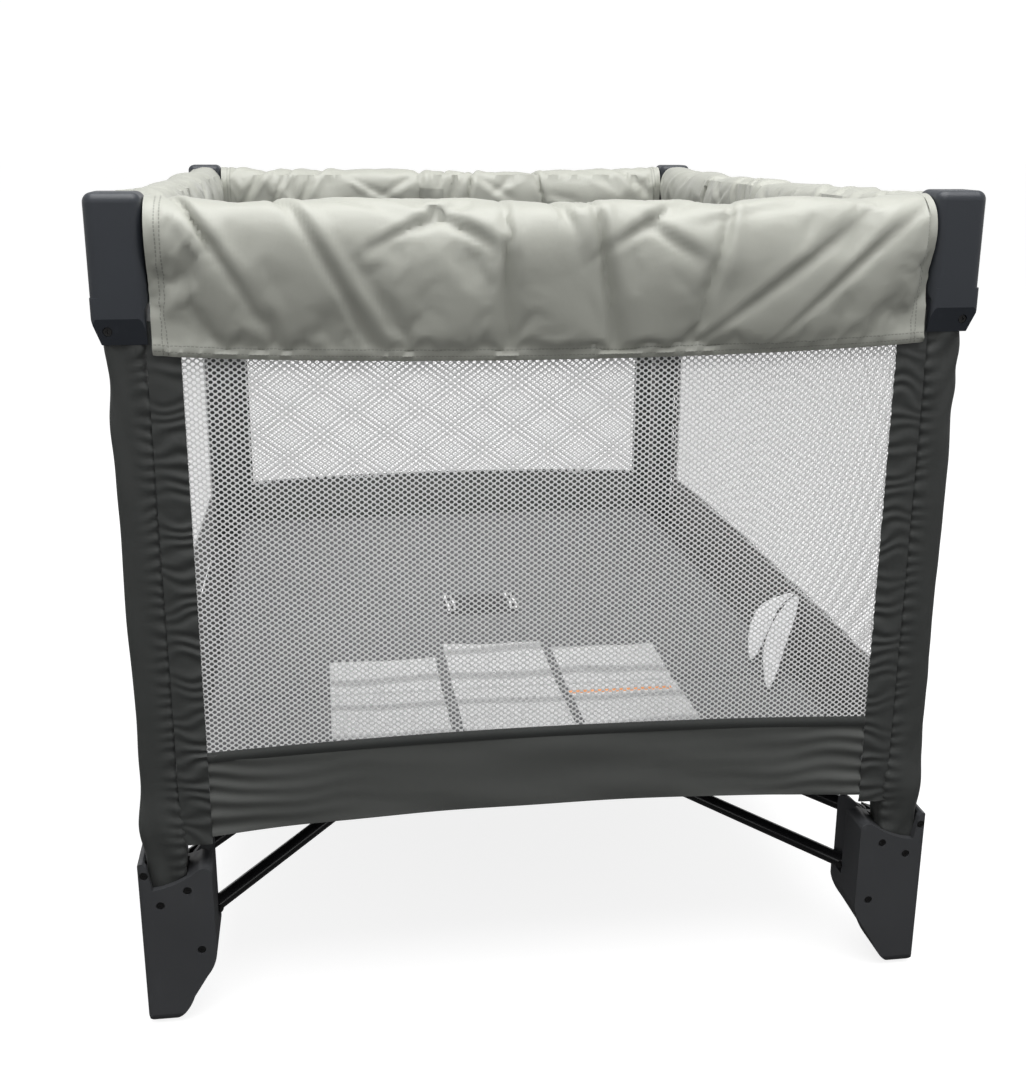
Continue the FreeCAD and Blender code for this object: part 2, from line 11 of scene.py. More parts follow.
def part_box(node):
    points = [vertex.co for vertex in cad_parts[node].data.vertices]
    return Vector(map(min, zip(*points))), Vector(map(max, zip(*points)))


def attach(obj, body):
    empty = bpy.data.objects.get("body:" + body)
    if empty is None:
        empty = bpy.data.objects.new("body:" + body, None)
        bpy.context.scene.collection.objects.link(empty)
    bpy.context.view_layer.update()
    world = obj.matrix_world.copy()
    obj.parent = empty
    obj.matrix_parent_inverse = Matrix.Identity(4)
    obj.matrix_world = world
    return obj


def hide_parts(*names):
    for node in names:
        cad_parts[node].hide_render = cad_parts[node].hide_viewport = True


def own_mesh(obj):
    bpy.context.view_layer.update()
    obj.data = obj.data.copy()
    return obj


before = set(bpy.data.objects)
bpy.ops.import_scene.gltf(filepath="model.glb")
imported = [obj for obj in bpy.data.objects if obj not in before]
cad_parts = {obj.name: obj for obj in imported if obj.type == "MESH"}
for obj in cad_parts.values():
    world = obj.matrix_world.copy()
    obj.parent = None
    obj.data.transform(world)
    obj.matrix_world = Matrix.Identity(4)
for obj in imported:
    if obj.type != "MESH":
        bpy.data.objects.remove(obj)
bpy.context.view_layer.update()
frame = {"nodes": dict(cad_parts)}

bl_info = {
    "name": "Travel play yard",
    "version": (1, 0, 0),
    "blender": (4, 5, 0),
    "location": "3D View > Sidebar > Play yard",
    "description": "Builds the cloth, padding and finishes of a folding travel play yard",
    "category": "Object",
}

MM = 0.001


# ---- places read from the frame -----------------------------------------------------------------
def low(node):
    return Vector(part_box(node)[0])


def high(node):
    return Vector(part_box(node)[1])


def middle(node):
    return (low(node) + high(node)) / 2


POST_X = middle("post_tube_fr").x
POST_Y = middle("post_tube_rr").y
RAIL_Z = middle("rail_front_left_half").z
SLEEVE_HALF = (high("post_sleeve_fr").x - low("post_sleeve_fr").x) / 2
FLOOR_Z = low("floor_sheet").z
PAD_TOP = high("pad_panel_1").z

CORNERS = {"fl": (-1, -1), "fr": (1, -1), "rl": (-1, 1), "rr": (1, 1)}


class Side:
    """One side of the yard: along runs left to right as seen from outside, out is away from it."""

    def __init__(self, name, turn, post_line, half_post, body, halves):
        self.name = name
        self.turn = turn                     # unit vectors of along and out, in the row frame
        self.post_line = post_line           # distance of the post axes from the middle
        self.half = half_post - SLEEVE_HALF  # half the clear length between the sleeves
        self.body = body                     # the post at the low end of along
        self.halves = halves                 # names of the half rails at the low and high end

    def world(self, along, out, z):
        """Points from arrays of along, out from the post axes, and height."""
        along, out, z = np.broadcast_arrays(along, out, z)
        (ax, ay), (ox, oy) = self.turn
        reach = out + self.post_line
        return np.stack([along * ax + reach * ox, along * ay + reach * oy, z], axis=-1)

    def along(self, points):
        (ax, ay), _ = self.turn
        return points[..., 0] * ax + points[..., 1] * ay

    def outside(self, points):
        """How far points stand outside the line between the post axes."""
        _, (ox, oy) = self.turn
        return points[..., 0] * ox + points[..., 1] * oy - self.post_line

    def vector(self, along, out, z):
        (ax, ay), (ox, oy) = self.turn
        return (along * ax + out * ox, along * ay + out * oy, z)

    def rail_body(self, end):
        return "rail_%s_%s_half" % (self.name, self.halves[end])


SIDES = [Side("front", ((1, 0), (0, -1)), POST_Y, POST_X, "post_fl", ("left", "right")),
         Side("right", ((0, 1), (1, 0)), POST_X, POST_Y, "post_fr", ("front", "rear")),
         Side("rear", ((-1, 0), (0, 1)), POST_Y, POST_X, "post_rr", ("right", "left")),
         Side("left", ((0, -1), (-1, 0)), POST_X, POST_Y, "post_rl", ("rear", "front"))]


# ---- settings -----------------------------------------------------------------------------------
def length(name, text, value):
    return FloatProperty(name=name, description=text, default=value, unit="LENGTH", precision=4)


def colour(name, text, value):
    return FloatVectorProperty(name=name, description=text, default=value, subtype="COLOR",
                               size=3, min=0.0, max=1.0)


class CoverSettings(bpy.types.PropertyGroup):
    skin: length("Thickness", "Cloth and padding of a rail cover", 2.5 * MM)
    hem: length("Hem", "Height of the bound hem below a rail cover", 9 * MM)
    stitch_inset: length("Stitch inset", "Double stitching, in from each end", 8 * MM)
    extra: FloatProperty(name="Extra cloth", description="Cloth spare over its shape",
                         default=0.045, subtype="FACTOR")
    frames: IntProperty(name="Frames", description="Steps of the cloth simulation", default=26)
    colour: colour("Colour", "Sage grey satin cloth", (0.455, 0.462, 0.410))


class WallSettings(bpy.types.PropertyGroup):
    strip: length("Side strip", "Width of the gathered strip beside each post", 24 * MM)
    band_top: length("Net bottom", "Height of the lower band's top edge", 258 * MM)
    band_arch: length("Band arch", "How far the band rises towards its middle", 9 * MM)
    hem_arch: length("Hem arch", "How far the bottom edge rises towards its middle", 13 * MM)
    binding: length("Binding", "Width of the binding along the band", 10 * MM)
    hole_along: length("Hole spacing along", "Between holes in a row of the net", 6.5 * MM)
    hole_up: length("Hole spacing up", "Between rows that line up", 4.9 * MM)
    hole: length("Hole", "Radius of a hole in the net", 1.52 * MM)
    net_colour: colour("Net", "White knitted net", (0.96, 0.96, 0.96))
    band_colour: colour("Band", "Charcoal cloth of the lower band", (0.088, 0.092, 0.087))
    strip_colour: colour("Strips", "Charcoal cloth of strips and sleeves", (0.044, 0.047, 0.045))


class PadSettings(bpy.types.PropertyGroup):
    crown: length("Crown", "How far a panel rises in its middle", 2.5 * MM)
    colour: colour("Colour", "Grey woven pad cloth", (0.095, 0.098, 0.102))
    print_colour: colour("Print", "Pale plain print on the pad", (0.90, 0.90, 0.90))
    accent: colour("Accent", "Thin orange bar of the print", (0.85, 0.30, 0.06))


class FrameSettings(bpy.types.PropertyGroup):
    cap: colour("Caps", "Moulded corner caps", (0.036, 0.041, 0.050))
    foot: colour("Feet", "Moulded feet", (0.056, 0.058, 0.062))
    tube: colour("Bars", "Gloss black floor bars", (0.010, 0.010, 0.011))
    screw: colour("Screws", "Blackened screws and pins", (0.006, 0.006, 0.006))
    button: colour("Buttons", "Latch release buttons", (0.30, 0.03, 0.02))


class StageSettings(bpy.types.PropertyGroup):
    floor: colour("Floor", "Plain pale floor", (0.34, 0.34, 0.34))
    glow: FloatProperty(name="Floor glow", description="Light of its own that lifts the shadows",
                        default=0.83)
    horizon: FloatProperty(name="Horizon", description="Strength of the sky level with the yard",
                           default=1.05)
    dome: FloatProperty(name="Dome", description="Strength of the sky overhead", default=0.50)
    ground: FloatProperty(name="Ground", description="Strength of the light from below",
                          default=0.05)
    key: FloatProperty(name="Top light", description="Power of the overhead panel",
                       default=108.0, unit="POWER")
    fill: FloatProperty(name="Front light", description="Power of the front panel",
                        default=4.0, unit="POWER")


class PlayYardSettings(bpy.types.PropertyGroup):
    covers: PointerProperty(type=CoverSettings)
    walls: PointerProperty(type=WallSettings)
    pad: PointerProperty(type=PadSettings)
    frame: PointerProperty(type=FrameSettings)
    stage: PointerProperty(type=StageSettings)


def settings():
    return bpy.context.scene.play_yard


# ---- shader maths -------------------------------------------------------------------------------
class Value:
    """A shader socket; arithmetic on it adds Math nodes."""

    def __init__(self, finish, socket):
        self.finish = finish
        self.socket = socket

    def _math(self, operation, *values):
        return self.finish.node("ShaderNodeMath", {"operation": operation},
                                dict(enumerate(values)))

    def between(self, start, end):
        """0 at start, 1 at end, smooth."""
        return self.finish.node("ShaderNodeMapRange", {"interpolation_type": "SMOOTHSTEP"},
                                {"Value": self, "From Min": start, "From Max": end})


def math_method(operation, swapped=False):
    def method(self, *others):
        values = (*others, self) if swapped else (self, *others)
        return self._math(operation, *values)
    return method


for _method, _operation, _swapped in (
        ("__add__", "ADD", False), ("__radd__", "ADD", True),
        ("__sub__", "SUBTRACT", False), ("__rsub__", "SUBTRACT", True),
        ("__mul__", "MULTIPLY", False), ("__rmul__", "MULTIPLY", True),
        ("__truediv__", "DIVIDE", False), ("__pow__", "POWER", False),
        ("__abs__", "ABSOLUTE", False), ("__lt__", "LESS_THAN", False),
        ("__gt__", "GREATER_THAN", False), ("fraction", "FRACT", False),
        ("sine", "SINE", False), ("least", "MINIMUM", False), ("most", "MAXIMUM", False)):
    setattr(Value, _method, math_method(_operation, _swapped))


class Finish:
    """The nodes of one material, or of the sky."""

    def __init__(self, name, holder=None):
        self.material = holder or bpy.data.materials.new(name)
        self.material.use_nodes = True
        self.tree = self.material.node_tree
        self.tree.nodes.clear()

    def node(self, kind, options, inputs):
        made = self.tree.nodes.new(kind)
        for key, value in options.items():
            setattr(made, key, value)
        for key, value in inputs.items():
            self.feed(made.inputs[key], value)
        return Value(self, made.outputs[0]) if len(made.outputs) else None

    def feed(self, socket, value):
        if isinstance(value, Value):
            self.tree.links.new(value.socket, socket)
        elif hasattr(value, "__len__") and socket.type == "RGBA":
            socket.default_value = (*tuple(value)[:3], 1.0)
        else:
            socket.default_value = value

    def coordinates(self, kind="Object"):
        """The three parts of a texture coordinate."""
        split = self.node("ShaderNodeSeparateXYZ", {}, {0: self.vector(kind)}).socket.node
        return [Value(self, part) for part in split.outputs]

    def vector(self, kind="Object"):
        found = self.tree.nodes.new("ShaderNodeTexCoord")
        return Value(self, found.outputs[kind])

    def noise(self, scale, detail=3.0, kind="Object", stretch=None):
        place = self.vector(kind)
        if stretch:
            place = self.node("ShaderNodeVectorMath", {"operation": "MULTIPLY"},
                              {0: place, 1: stretch})
        return self.node("ShaderNodeTexNoise", {}, {"Vector": place, "Scale": scale,
                                                   "Detail": detail})

    def mixed(self, share, first, second):
        """A colour between two, by share."""
        mix = self.tree.nodes.new("ShaderNodeMix")
        mix.data_type = "RGBA"
        self.feed(mix.inputs["Factor"], share)
        self.feed(mix.inputs["A"], first)
        self.feed(mix.inputs["B"], second)
        return Value(self, mix.outputs["Result"])

    def bumped(self, height, strength, distance, normal=None):
        inputs = {"Height": height, "Strength": strength, "Distance": distance}
        if normal:
            inputs["Normal"] = normal
        return self.node("ShaderNodeBump", {}, inputs)

    def shaded(self, inputs):
        """The material with a Principled shader fed by these inputs."""
        shader = self.node("ShaderNodeBsdfPrincipled", {}, inputs)
        self.node("ShaderNodeOutputMaterial", {}, {"Surface": shader})
        return self.material


def tone(base, share):
    return tuple(min(1.0, part * share) for part in base)


TURN = 2 * math.pi


def weave(finish, pitch):
    """Height of a plain weave whose threads are pitch apart, from UVs in metres."""
    u, v, _ = finish.coordinates("UV")
    warp = (u * (TURN / pitch)).sine()
    weft = (v * (TURN / pitch)).sine()
    return warp * weft * 0.5 + 0.5


def moulded(name, base, roughness=0.42):
    """Satin moulded plastic with a fine spark-eroded grain and slightly rubbed highs."""
    finish = Finish(name)
    grain = finish.noise(1500.0, 2.0)
    cloud = finish.noise(14.0, 4.0)
    scuff = finish.noise(90.0, 6.0, stretch=(1.0, 1.0, 0.25)).between(0.60, 0.75)
    base_colour = finish.mixed(cloud, tone(base, 0.88), tone(base, 1.14))
    return finish.shaded({
        "Base Color": finish.mixed(scuff * 0.25, base_colour, tone(base, 1.7)),
        "Roughness": cloud * 0.10 + scuff * 0.10 + (roughness - 0.05),
        "Normal": finish.bumped(grain, 0.30, 0.15 * MM),
        "Specular IOR Level": 0.5})


def tube_finish(name, base, roughness, metallic):
    """Coated or plain drawn tube with faint lengthwise drawing marks."""
    finish = Finish(name)
    marks = finish.noise(60.0, 5.0, stretch=(1.0, 1.0, 6.0))
    dust = finish.noise(25.0, 3.0)
    return finish.shaded({
        "Base Color": finish.mixed(dust, tone(base, 0.85), tone(base, 1.35)),
        "Roughness": marks * 0.12 + (roughness - 0.06),
        "Metallic": metallic,
        "Normal": finish.bumped(marks, 0.12, 0.1 * MM),
        "Coat Weight": 0.3})


def woven(name, base, pitch=0.6 * MM, roughness=0.6, sheen=0.15, contrast=0.12, crush=0.25):
    """Woven cloth: thread relief, uneven dye and a soft crushed surface."""
    finish = Finish(name)
    threads = weave(finish, pitch)
    dye = finish.noise(18.0, 5.0, "UV")
    slub = finish.noise(240.0, 2.0, "UV", (1.0, 0.12, 1.0))
    crushed = finish.noise(55.0, 4.0, "UV")
    # The threads part of this mix darkens the weave's hollows and lightens its high points: painted
    # shade of the weave, beside real uneven dye and slubs.
    shade = dye * 0.6 + threads * 0.25 + slub * 0.15
    relief = finish.bumped(threads, 0.35, 0.12 * MM)
    return finish.shaded({
        "Base Color": finish.mixed(shade, tone(base, 1 - contrast), tone(base, 1 + contrast)),
        "Roughness": threads * 0.08 + (roughness - 0.04),
        "Sheen Weight": sheen,
        "Sheen Roughness": 0.4,
        "Normal": finish.bumped(crushed, crush, 0.8 * MM, relief)})


def cover_cloth(name, look, cloth_length, girth):
    """Sage satin of the rail covers, with its bound hems and stitched ends."""
    finish = Finish(name)
    u, v, _ = finish.coordinates("UV")
    threads = weave(finish, 0.45 * MM)
    dye = finish.noise(7.0, 4.0, "UV")
    crushed = finish.noise(38.0, 5.0, "UV")
    end = u.least(cloth_length - u)
    hem = v.least(girth - v)

    def stitched(distance, place, half_width, along):
        dash = (along * (1 / (3.2 * MM))).fraction() > 0.28
        return (abs(distance - place) < half_width) * dash

    stitches = stitched(hem, look.hem, 0.45 * MM, u)
    for other in (stitched(end, look.stitch_inset, 0.5 * MM, v),
                  stitched(end, look.stitch_inset + 4 * MM, 0.5 * MM, v),
                  stitched(hem, look.hem * 0.45, 0.4 * MM, u)):
        stitches = stitches.most(other)
    seam = (hem.between(look.hem * 1.25, look.hem * 0.8)) * 0.35
    base = tuple(look.colour)
    # The threads part of this mix darkens the weave's hollows and lightens its high points: painted
    # shade of the weave, beside random dye.
    cloth = finish.mixed(dye * 0.7 + threads * 0.3, tone(base, 0.93), tone(base, 1.07))
    bound = finish.mixed(seam, cloth, tone(base, 0.5))
    relief = finish.bumped(threads, 0.25, 0.1 * MM)
    puckers = finish.bumped(stitches, 0.6, -0.8 * MM, relief)
    return finish.shaded({
        "Base Color": finish.mixed(stitches * 0.6, bound, tone(base, 0.40)),
        "Roughness": crushed * 0.14 + 0.34,
        "Specular IOR Level": 0.55,
        "Sheen Weight": 0.10,
        "Normal": finish.bumped(crushed, 0.45, 1.5 * MM, puckers)})


def net_cloth(name, look):
    """White net: holes in staggered rows, round threads between them."""
    finish = Finish(name)
    u, v, _ = finish.coordinates("UV")

    def distance(shift):
        across = ((u / look.hole_along + shift).fraction() - 0.5) * look.hole_along
        up = ((v / look.hole_up + shift).fraction() - 0.5) * look.hole_up
        return (across * across * 0.86 + up * up * 1.18) ** 0.5

    nearest = distance(0.0).least(distance(0.5))
    thread = nearest > look.hole
    round_thread = nearest.between(look.hole, look.hole + 0.55 * MM)
    twist = finish.noise(900.0, 2.0, "UV")
    soil = finish.noise(9.0, 3.0, "UV")
    base = tuple(look.net_colour)
    # The base colour darkens each thread towards the holes by round_thread: painted shade of the
    # thread's round form, mixed with random soil.
    return finish.shaded({
        "Base Color": finish.mixed(soil * 0.5 + round_thread * 0.5, tone(base, 0.84), base),
        "Roughness": twist * 0.1 + 0.5,
        "Alpha": thread,
        "Sheen Weight": 0.6,
        "Sheen Roughness": 0.5,
        "Normal": finish.bumped(round_thread * 0.8 + twist * 0.2, 0.5, 0.4 * MM)})


PRINT_FRONT = -0.352     # front edge of the print, and each column's left, right and back edge
PRINT_COLUMNS = ((-0.190, -0.072, -0.150), (-0.060, 0.052, -0.112), (0.062, 0.180, -0.135))
ACCENT_BAR = (0.060, 0.172, -0.266, -0.257)


def pad_cloth(name, look):
    """Grey pad cloth with a plain three-column print and one accent bar, without any lettering."""
    finish = Finish(name)
    x, y, z = finish.coordinates()
    threads = weave(finish, 0.7 * MM)
    dye = finish.noise(11.0, 4.0)
    crushed = finish.noise(30.0, 4.0)
    heather = finish.noise(700.0, 1.0)
    on_top = z > PAD_TOP - 6 * MM

    def patch(left, right, front, back):
        return (x > left) * (x < right) * (y > front) * (y < back)

    wander = (finish.noise(9.0, 2.0) - 0.5) * 0.030
    first, second, third = (patch(left, right, PRINT_FRONT, wander + back)
                            for left, right, back in PRINT_COLUMNS)
    columns = first.most(second).most(third) * on_top
    accent = patch(*ACCENT_BAR) * on_top
    rules = ((y + wander) * 85.0).sine().between(0.55, 0.95)
    base = tuple(look.colour)
    cloth = finish.mixed(dye * 0.5 + heather * 0.5, tone(base, 0.7), tone(base, 1.3))
    worn = finish.noise(130.0, 3.0).between(0.25, 0.5)
    strength = columns * (worn * 0.25 + 0.45) * (1 - rules * 0.55)
    printed = finish.mixed(strength, cloth, tuple(look.print_colour))
    relief = finish.bumped(threads, 0.3, 0.12 * MM)
    return finish.shaded({
        "Base Color": finish.mixed(accent * 0.9, printed, tuple(look.accent)),
        "Roughness": 0.62 - columns * 0.12,
        "Sheen Weight": 0.15,
        "Normal": finish.bumped(crushed, 0.35, 1.5 * MM, relief)})


def webbing(name, base):
    """Flat nylon webbing: ribs across, a herringbone along."""
    finish = Finish(name)
    u, v, _ = finish.coordinates("UV")
    ribs = ((v + abs((u * 160.0).fraction() - 0.5) * 2 * MM) * (TURN / (1.4 * MM))).sine()
    height = ribs * 0.5 + 0.5
    # The base colour follows the rib height: painted shade in the rib valleys and painted highlight
    # on the crests.
    return finish.shaded({
        "Base Color": finish.mixed(height, tone(base, 0.6), tone(base, 1.5)),
        "Roughness": height * 0.1 + 0.5,
        "Sheen Weight": 0.1,
        "Normal": finish.bumped(height, 0.6, 0.3 * MM)})


def plain_label(name, base, accent=None):
    """Smooth woven label without any print; accent colours one end."""
    finish = Finish(name)
    u, v, _ = finish.coordinates("UV")
    threads = weave(finish, 0.5 * MM)
    # The label's colour follows the weave's height: painted shade in its hollows.
    cloth = finish.mixed(threads, tone(base, 0.9), base)
    if accent:
        cloth = finish.mixed(u > 0.019, cloth, accent)
    return finish.shaded({"Base Color": cloth, "Roughness": threads * 0.1 + 0.4,
                          "Normal": finish.bumped(threads, 0.2, 0.1 * MM)})


# ---- mesh helpers -------------------------------------------------------------------------------
def skin(name, points, uv, material, sharp=50):
    """A sheet from a grid of points (rows, columns, 3) with UVs in metres."""
    rows, columns = points.shape[:2]
    index = np.arange(rows * columns).reshape(rows, columns)
    quads = np.stack([index[:-1, :-1], index[:-1, 1:], index[1:, 1:], index[1:, :-1]], axis=-1)
    mesh = bpy.data.meshes.new(name)
    mesh.from_pydata(points.reshape(-1, 3).tolist(), [], quads.reshape(-1, 4).tolist())
    layer = mesh.uv_layers.new(name="cloth")
    flat = uv.reshape(-1, 2)[quads.reshape(-1)]
    layer.data.foreach_set("uv", flat.astype(np.float32).ravel())
    return finished(name, mesh, material, sharp)


def finished(name, mesh, material, sharp=50):
    mesh.polygons.foreach_set("use_smooth", np.ones(len(mesh.polygons), bool))
    mesh.set_sharp_from_angle(angle=math.radians(sharp))
    mesh.materials.append(material)
    mesh.update()
    made = bpy.data.objects.new(name, mesh)
    bpy.context.scene.collection.objects.link(made)
    return made


def apply_modifiers(piece):
    """Bake the piece's modifiers into its mesh."""
    graph = bpy.context.evaluated_depsgraph_get()
    mesh = bpy.data.meshes.new_from_object(piece.evaluated_get(graph))
    piece.modifiers.clear()
    piece.data = mesh
    return piece


def thicken(piece, thickness, offset=-1.0):
    solid = piece.modifiers.new("thickness", "SOLIDIFY")
    solid.thickness = thickness
    solid.offset = offset
    apply_modifiers(piece)
    piece.data.set_sharp_from_angle(angle=math.radians(50))
    return piece


def ease(x):
    x = np.clip(x, 0.0, 1.0)
    return x * x * (3 - 2 * x)


def ripples(u, v, size, seed, count=7, stretch=1.0):
    """Smooth uneven relief about -1 to 1: crossed waves whose length is near size."""
    draw = np.random.default_rng(seed)
    total = np.zeros(np.broadcast(u, v).shape)
    for _ in range(count):
        angle, phase, scale = (draw.uniform(*ends) for ends in
                               ((0, math.pi), (0, TURN), (0.7, 1.5)))
        wave = TURN / (size * scale)
        total = total + np.sin((u * math.cos(angle) * stretch + v * math.sin(angle)) * wave + phase)
    return total / math.sqrt(count * 2)


def curve_through(controls, count):
    """Evenly spaced points on a smooth curve through the control points."""
    p = np.array(controls, float)
    p = np.vstack([2 * p[0] - p[1], p, 2 * p[-1] - p[-2]])
    t = np.linspace(0, 1, 24, endpoint=False)[:, None]
    runs = []
    for a, b, c, d in zip(p[:-3], p[1:-2], p[2:-1], p[3:]):
        runs.append(0.5 * (2 * b + (c - a) * t + (2 * a - 5 * b + 4 * c - d) * t ** 2
                           + (3 * b - a - 3 * c + d) * t ** 3))
    fine = np.vstack(runs + [p[-2:-1]])
    lengths = np.concatenate([[0], np.cumsum(np.linalg.norm(np.diff(fine, axis=0), axis=1))])
    even = np.linspace(0, lengths[-1], count)
    return np.stack([np.interp(even, lengths, fine[:, i]) for i in range(p.shape[1])], axis=-1)


def arc_lengths(line):
    steps = np.linalg.norm(np.diff(line, axis=0), axis=1)
    return np.concatenate([[0], np.cumsum(steps)])


def placed(piece, body, slot, *nodes):
    """Put a piece on its body, in place of the nodes it stands for; slot is not used."""
    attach(piece, body)
    if nodes:
        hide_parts(*nodes)


# ---- stage --------------------------------------------------------------------------------------
CAMERA_PLACE = (-0.1875, -1.5686, 0.7731)
CAMERA_YAW = 7.97        # degrees to the right
CAMERA_PITCH = 16.58     # degrees down
CAMERA_ROLL = 0.21
FOCAL = 1353.8 / 1090    # focal length as a share of the frame's longer side
CAMERA_SHIFT = (0.0039, -0.0071)


class PLAYYARD_OT_stage(bpy.types.Operator):
    """Camera, lights, sky and floor"""
    bl_idname = "playyard.stage"
    bl_label = "Stage"

    def execute(self, context):
        look = settings().stage
        self.camera(context.scene)
        self.floor(look)
        self.light("top_light", (0.1, -0.7, 3.2), (0, 0, 0.3), 3.0, look.key)
        self.light("front_light", (-1.4, -3.2, 2.3), (0, 0, 0.4), 1.8, look.fill)
        context.scene.world = self.sky(look)
        context.scene.view_settings.view_transform = "Standard"
        return {"FINISHED"}

    def sky(self, look):
        """Bright at the horizon, softer overhead and dim below."""
        finish = Finish("sky", bpy.data.worlds.new("sky"))
        height = finish.coordinates("Generated")[2]
        low_part = height.between(-0.10, -0.02)
        high_part = height.between(0.12, 0.20)
        level = low_part * (look.horizon - look.ground) + look.ground
        level = level - high_part * (look.horizon - look.dome)
        light = finish.node("ShaderNodeBackground", {}, {"Color": (1.0, 1.0, 1.0),
                                                         "Strength": level})
        finish.node("ShaderNodeOutputWorld", {}, {"Surface": light})
        return finish.material

    def camera(self, scene):
        data = bpy.data.cameras.new("view")
        data.sensor_width = 36.0
        data.lens = FOCAL * data.sensor_width
        data.shift_x, data.shift_y = CAMERA_SHIFT
        camera = bpy.data.objects.new("view", data)
        yaw = Matrix.Rotation(math.radians(-CAMERA_YAW), 4, "Z")
        pitch = Matrix.Rotation(math.radians(90 - CAMERA_PITCH), 4, "X")
        roll = Matrix.Rotation(math.radians(CAMERA_ROLL), 4, "Z")
        camera.matrix_world = Matrix.Translation(CAMERA_PLACE) @ yaw @ pitch @ roll
        scene.collection.objects.link(camera)
        scene.camera = camera

    def floor(self, look):
        finish = Finish("floor_paint")
        speckle = finish.noise(3.0, 3.0)
        base = tuple(look.floor)
        paint = finish.shaded({"Base Color": finish.mixed(speckle, tone(base, 0.99), base),
                               "Roughness": 0.9, "Specular IOR Level": 0.0,
                               "Emission Color": (1.0, 1.0, 1.0), "Emission Strength": look.glow})
        half = 40.0
        ends = np.linspace(-half, half, 2)
        x, y = np.meshgrid(ends, ends)
        ground = skin("floor", np.stack([x, y, 0 * x], -1), np.stack([x, y], -1), paint)
        ground.visible_diffuse = False
        ground.visible_glossy = False

    def light(self, name, place, aim, size, power):
        data = bpy.data.lights.new(name, "AREA")
        data.size = size
        data.energy = power
        lamp = bpy.data.objects.new(name, data)
        away = Vector(place) - Vector(aim)
        turn = away.to_track_quat("Z", "Y").to_matrix().to_4x4()
        lamp.matrix_world = Matrix.Translation(place) @ turn
        bpy.context.scene.collection.objects.link(lamp)


# ---- frame finishes -----------------------------------------------------------------------------
class PLAYYARD_OT_frame(bpy.types.Operator):
    """Finishes of the moulded parts, tubes, screws and latches that come from the design"""
    bl_idname = "playyard.frame"
    bl_label = "Frame finishes"

    def execute(self, context):
        look = settings().frame
        finishes = {
            "corner_cap": moulded("cap_plastic", tuple(look.cap), 0.40),
            "foot": moulded("foot_plastic", tuple(look.foot), 0.46),
            "hub": moulded("hub_plastic", (0.020, 0.020, 0.022), 0.45),
            "latch_button": moulded("button_plastic", tuple(look.button), 0.35),
            "latch": moulded("latch_plastic", (0.040, 0.040, 0.045), 0.40),
            "lower_bar": tube_finish("bar_gloss", tuple(look.tube), 0.22, 0.0),
            "rail": tube_finish("rail_steel", (0.45, 0.45, 0.45), 0.35, 1.0),
            "post_tube": tube_finish("post_coat", (0.03, 0.03, 0.03), 0.35, 0.0),
            "pins": tube_finish("pin_steel", tuple(look.screw), 0.38, 0.0)}
        finishes["upper_bar"] = finishes["lower_bar"]
        finishes["fasteners"] = finishes["pins"]
        for name, node in frame["nodes"].items():
            kind = self.kind_of(name, finishes)
            if kind:
                node.data.materials.clear()
                node.data.materials.append(finishes[kind])
        return {"FINISHED"}

    def kind_of(self, name, finishes):
        """The finish whose name starts this node's name; the longest one wins."""
        if name == "hub_pins":
            return "pins"
        found = [kind for kind in finishes if name.startswith(kind)]
        return max(found, key=len) if found else None


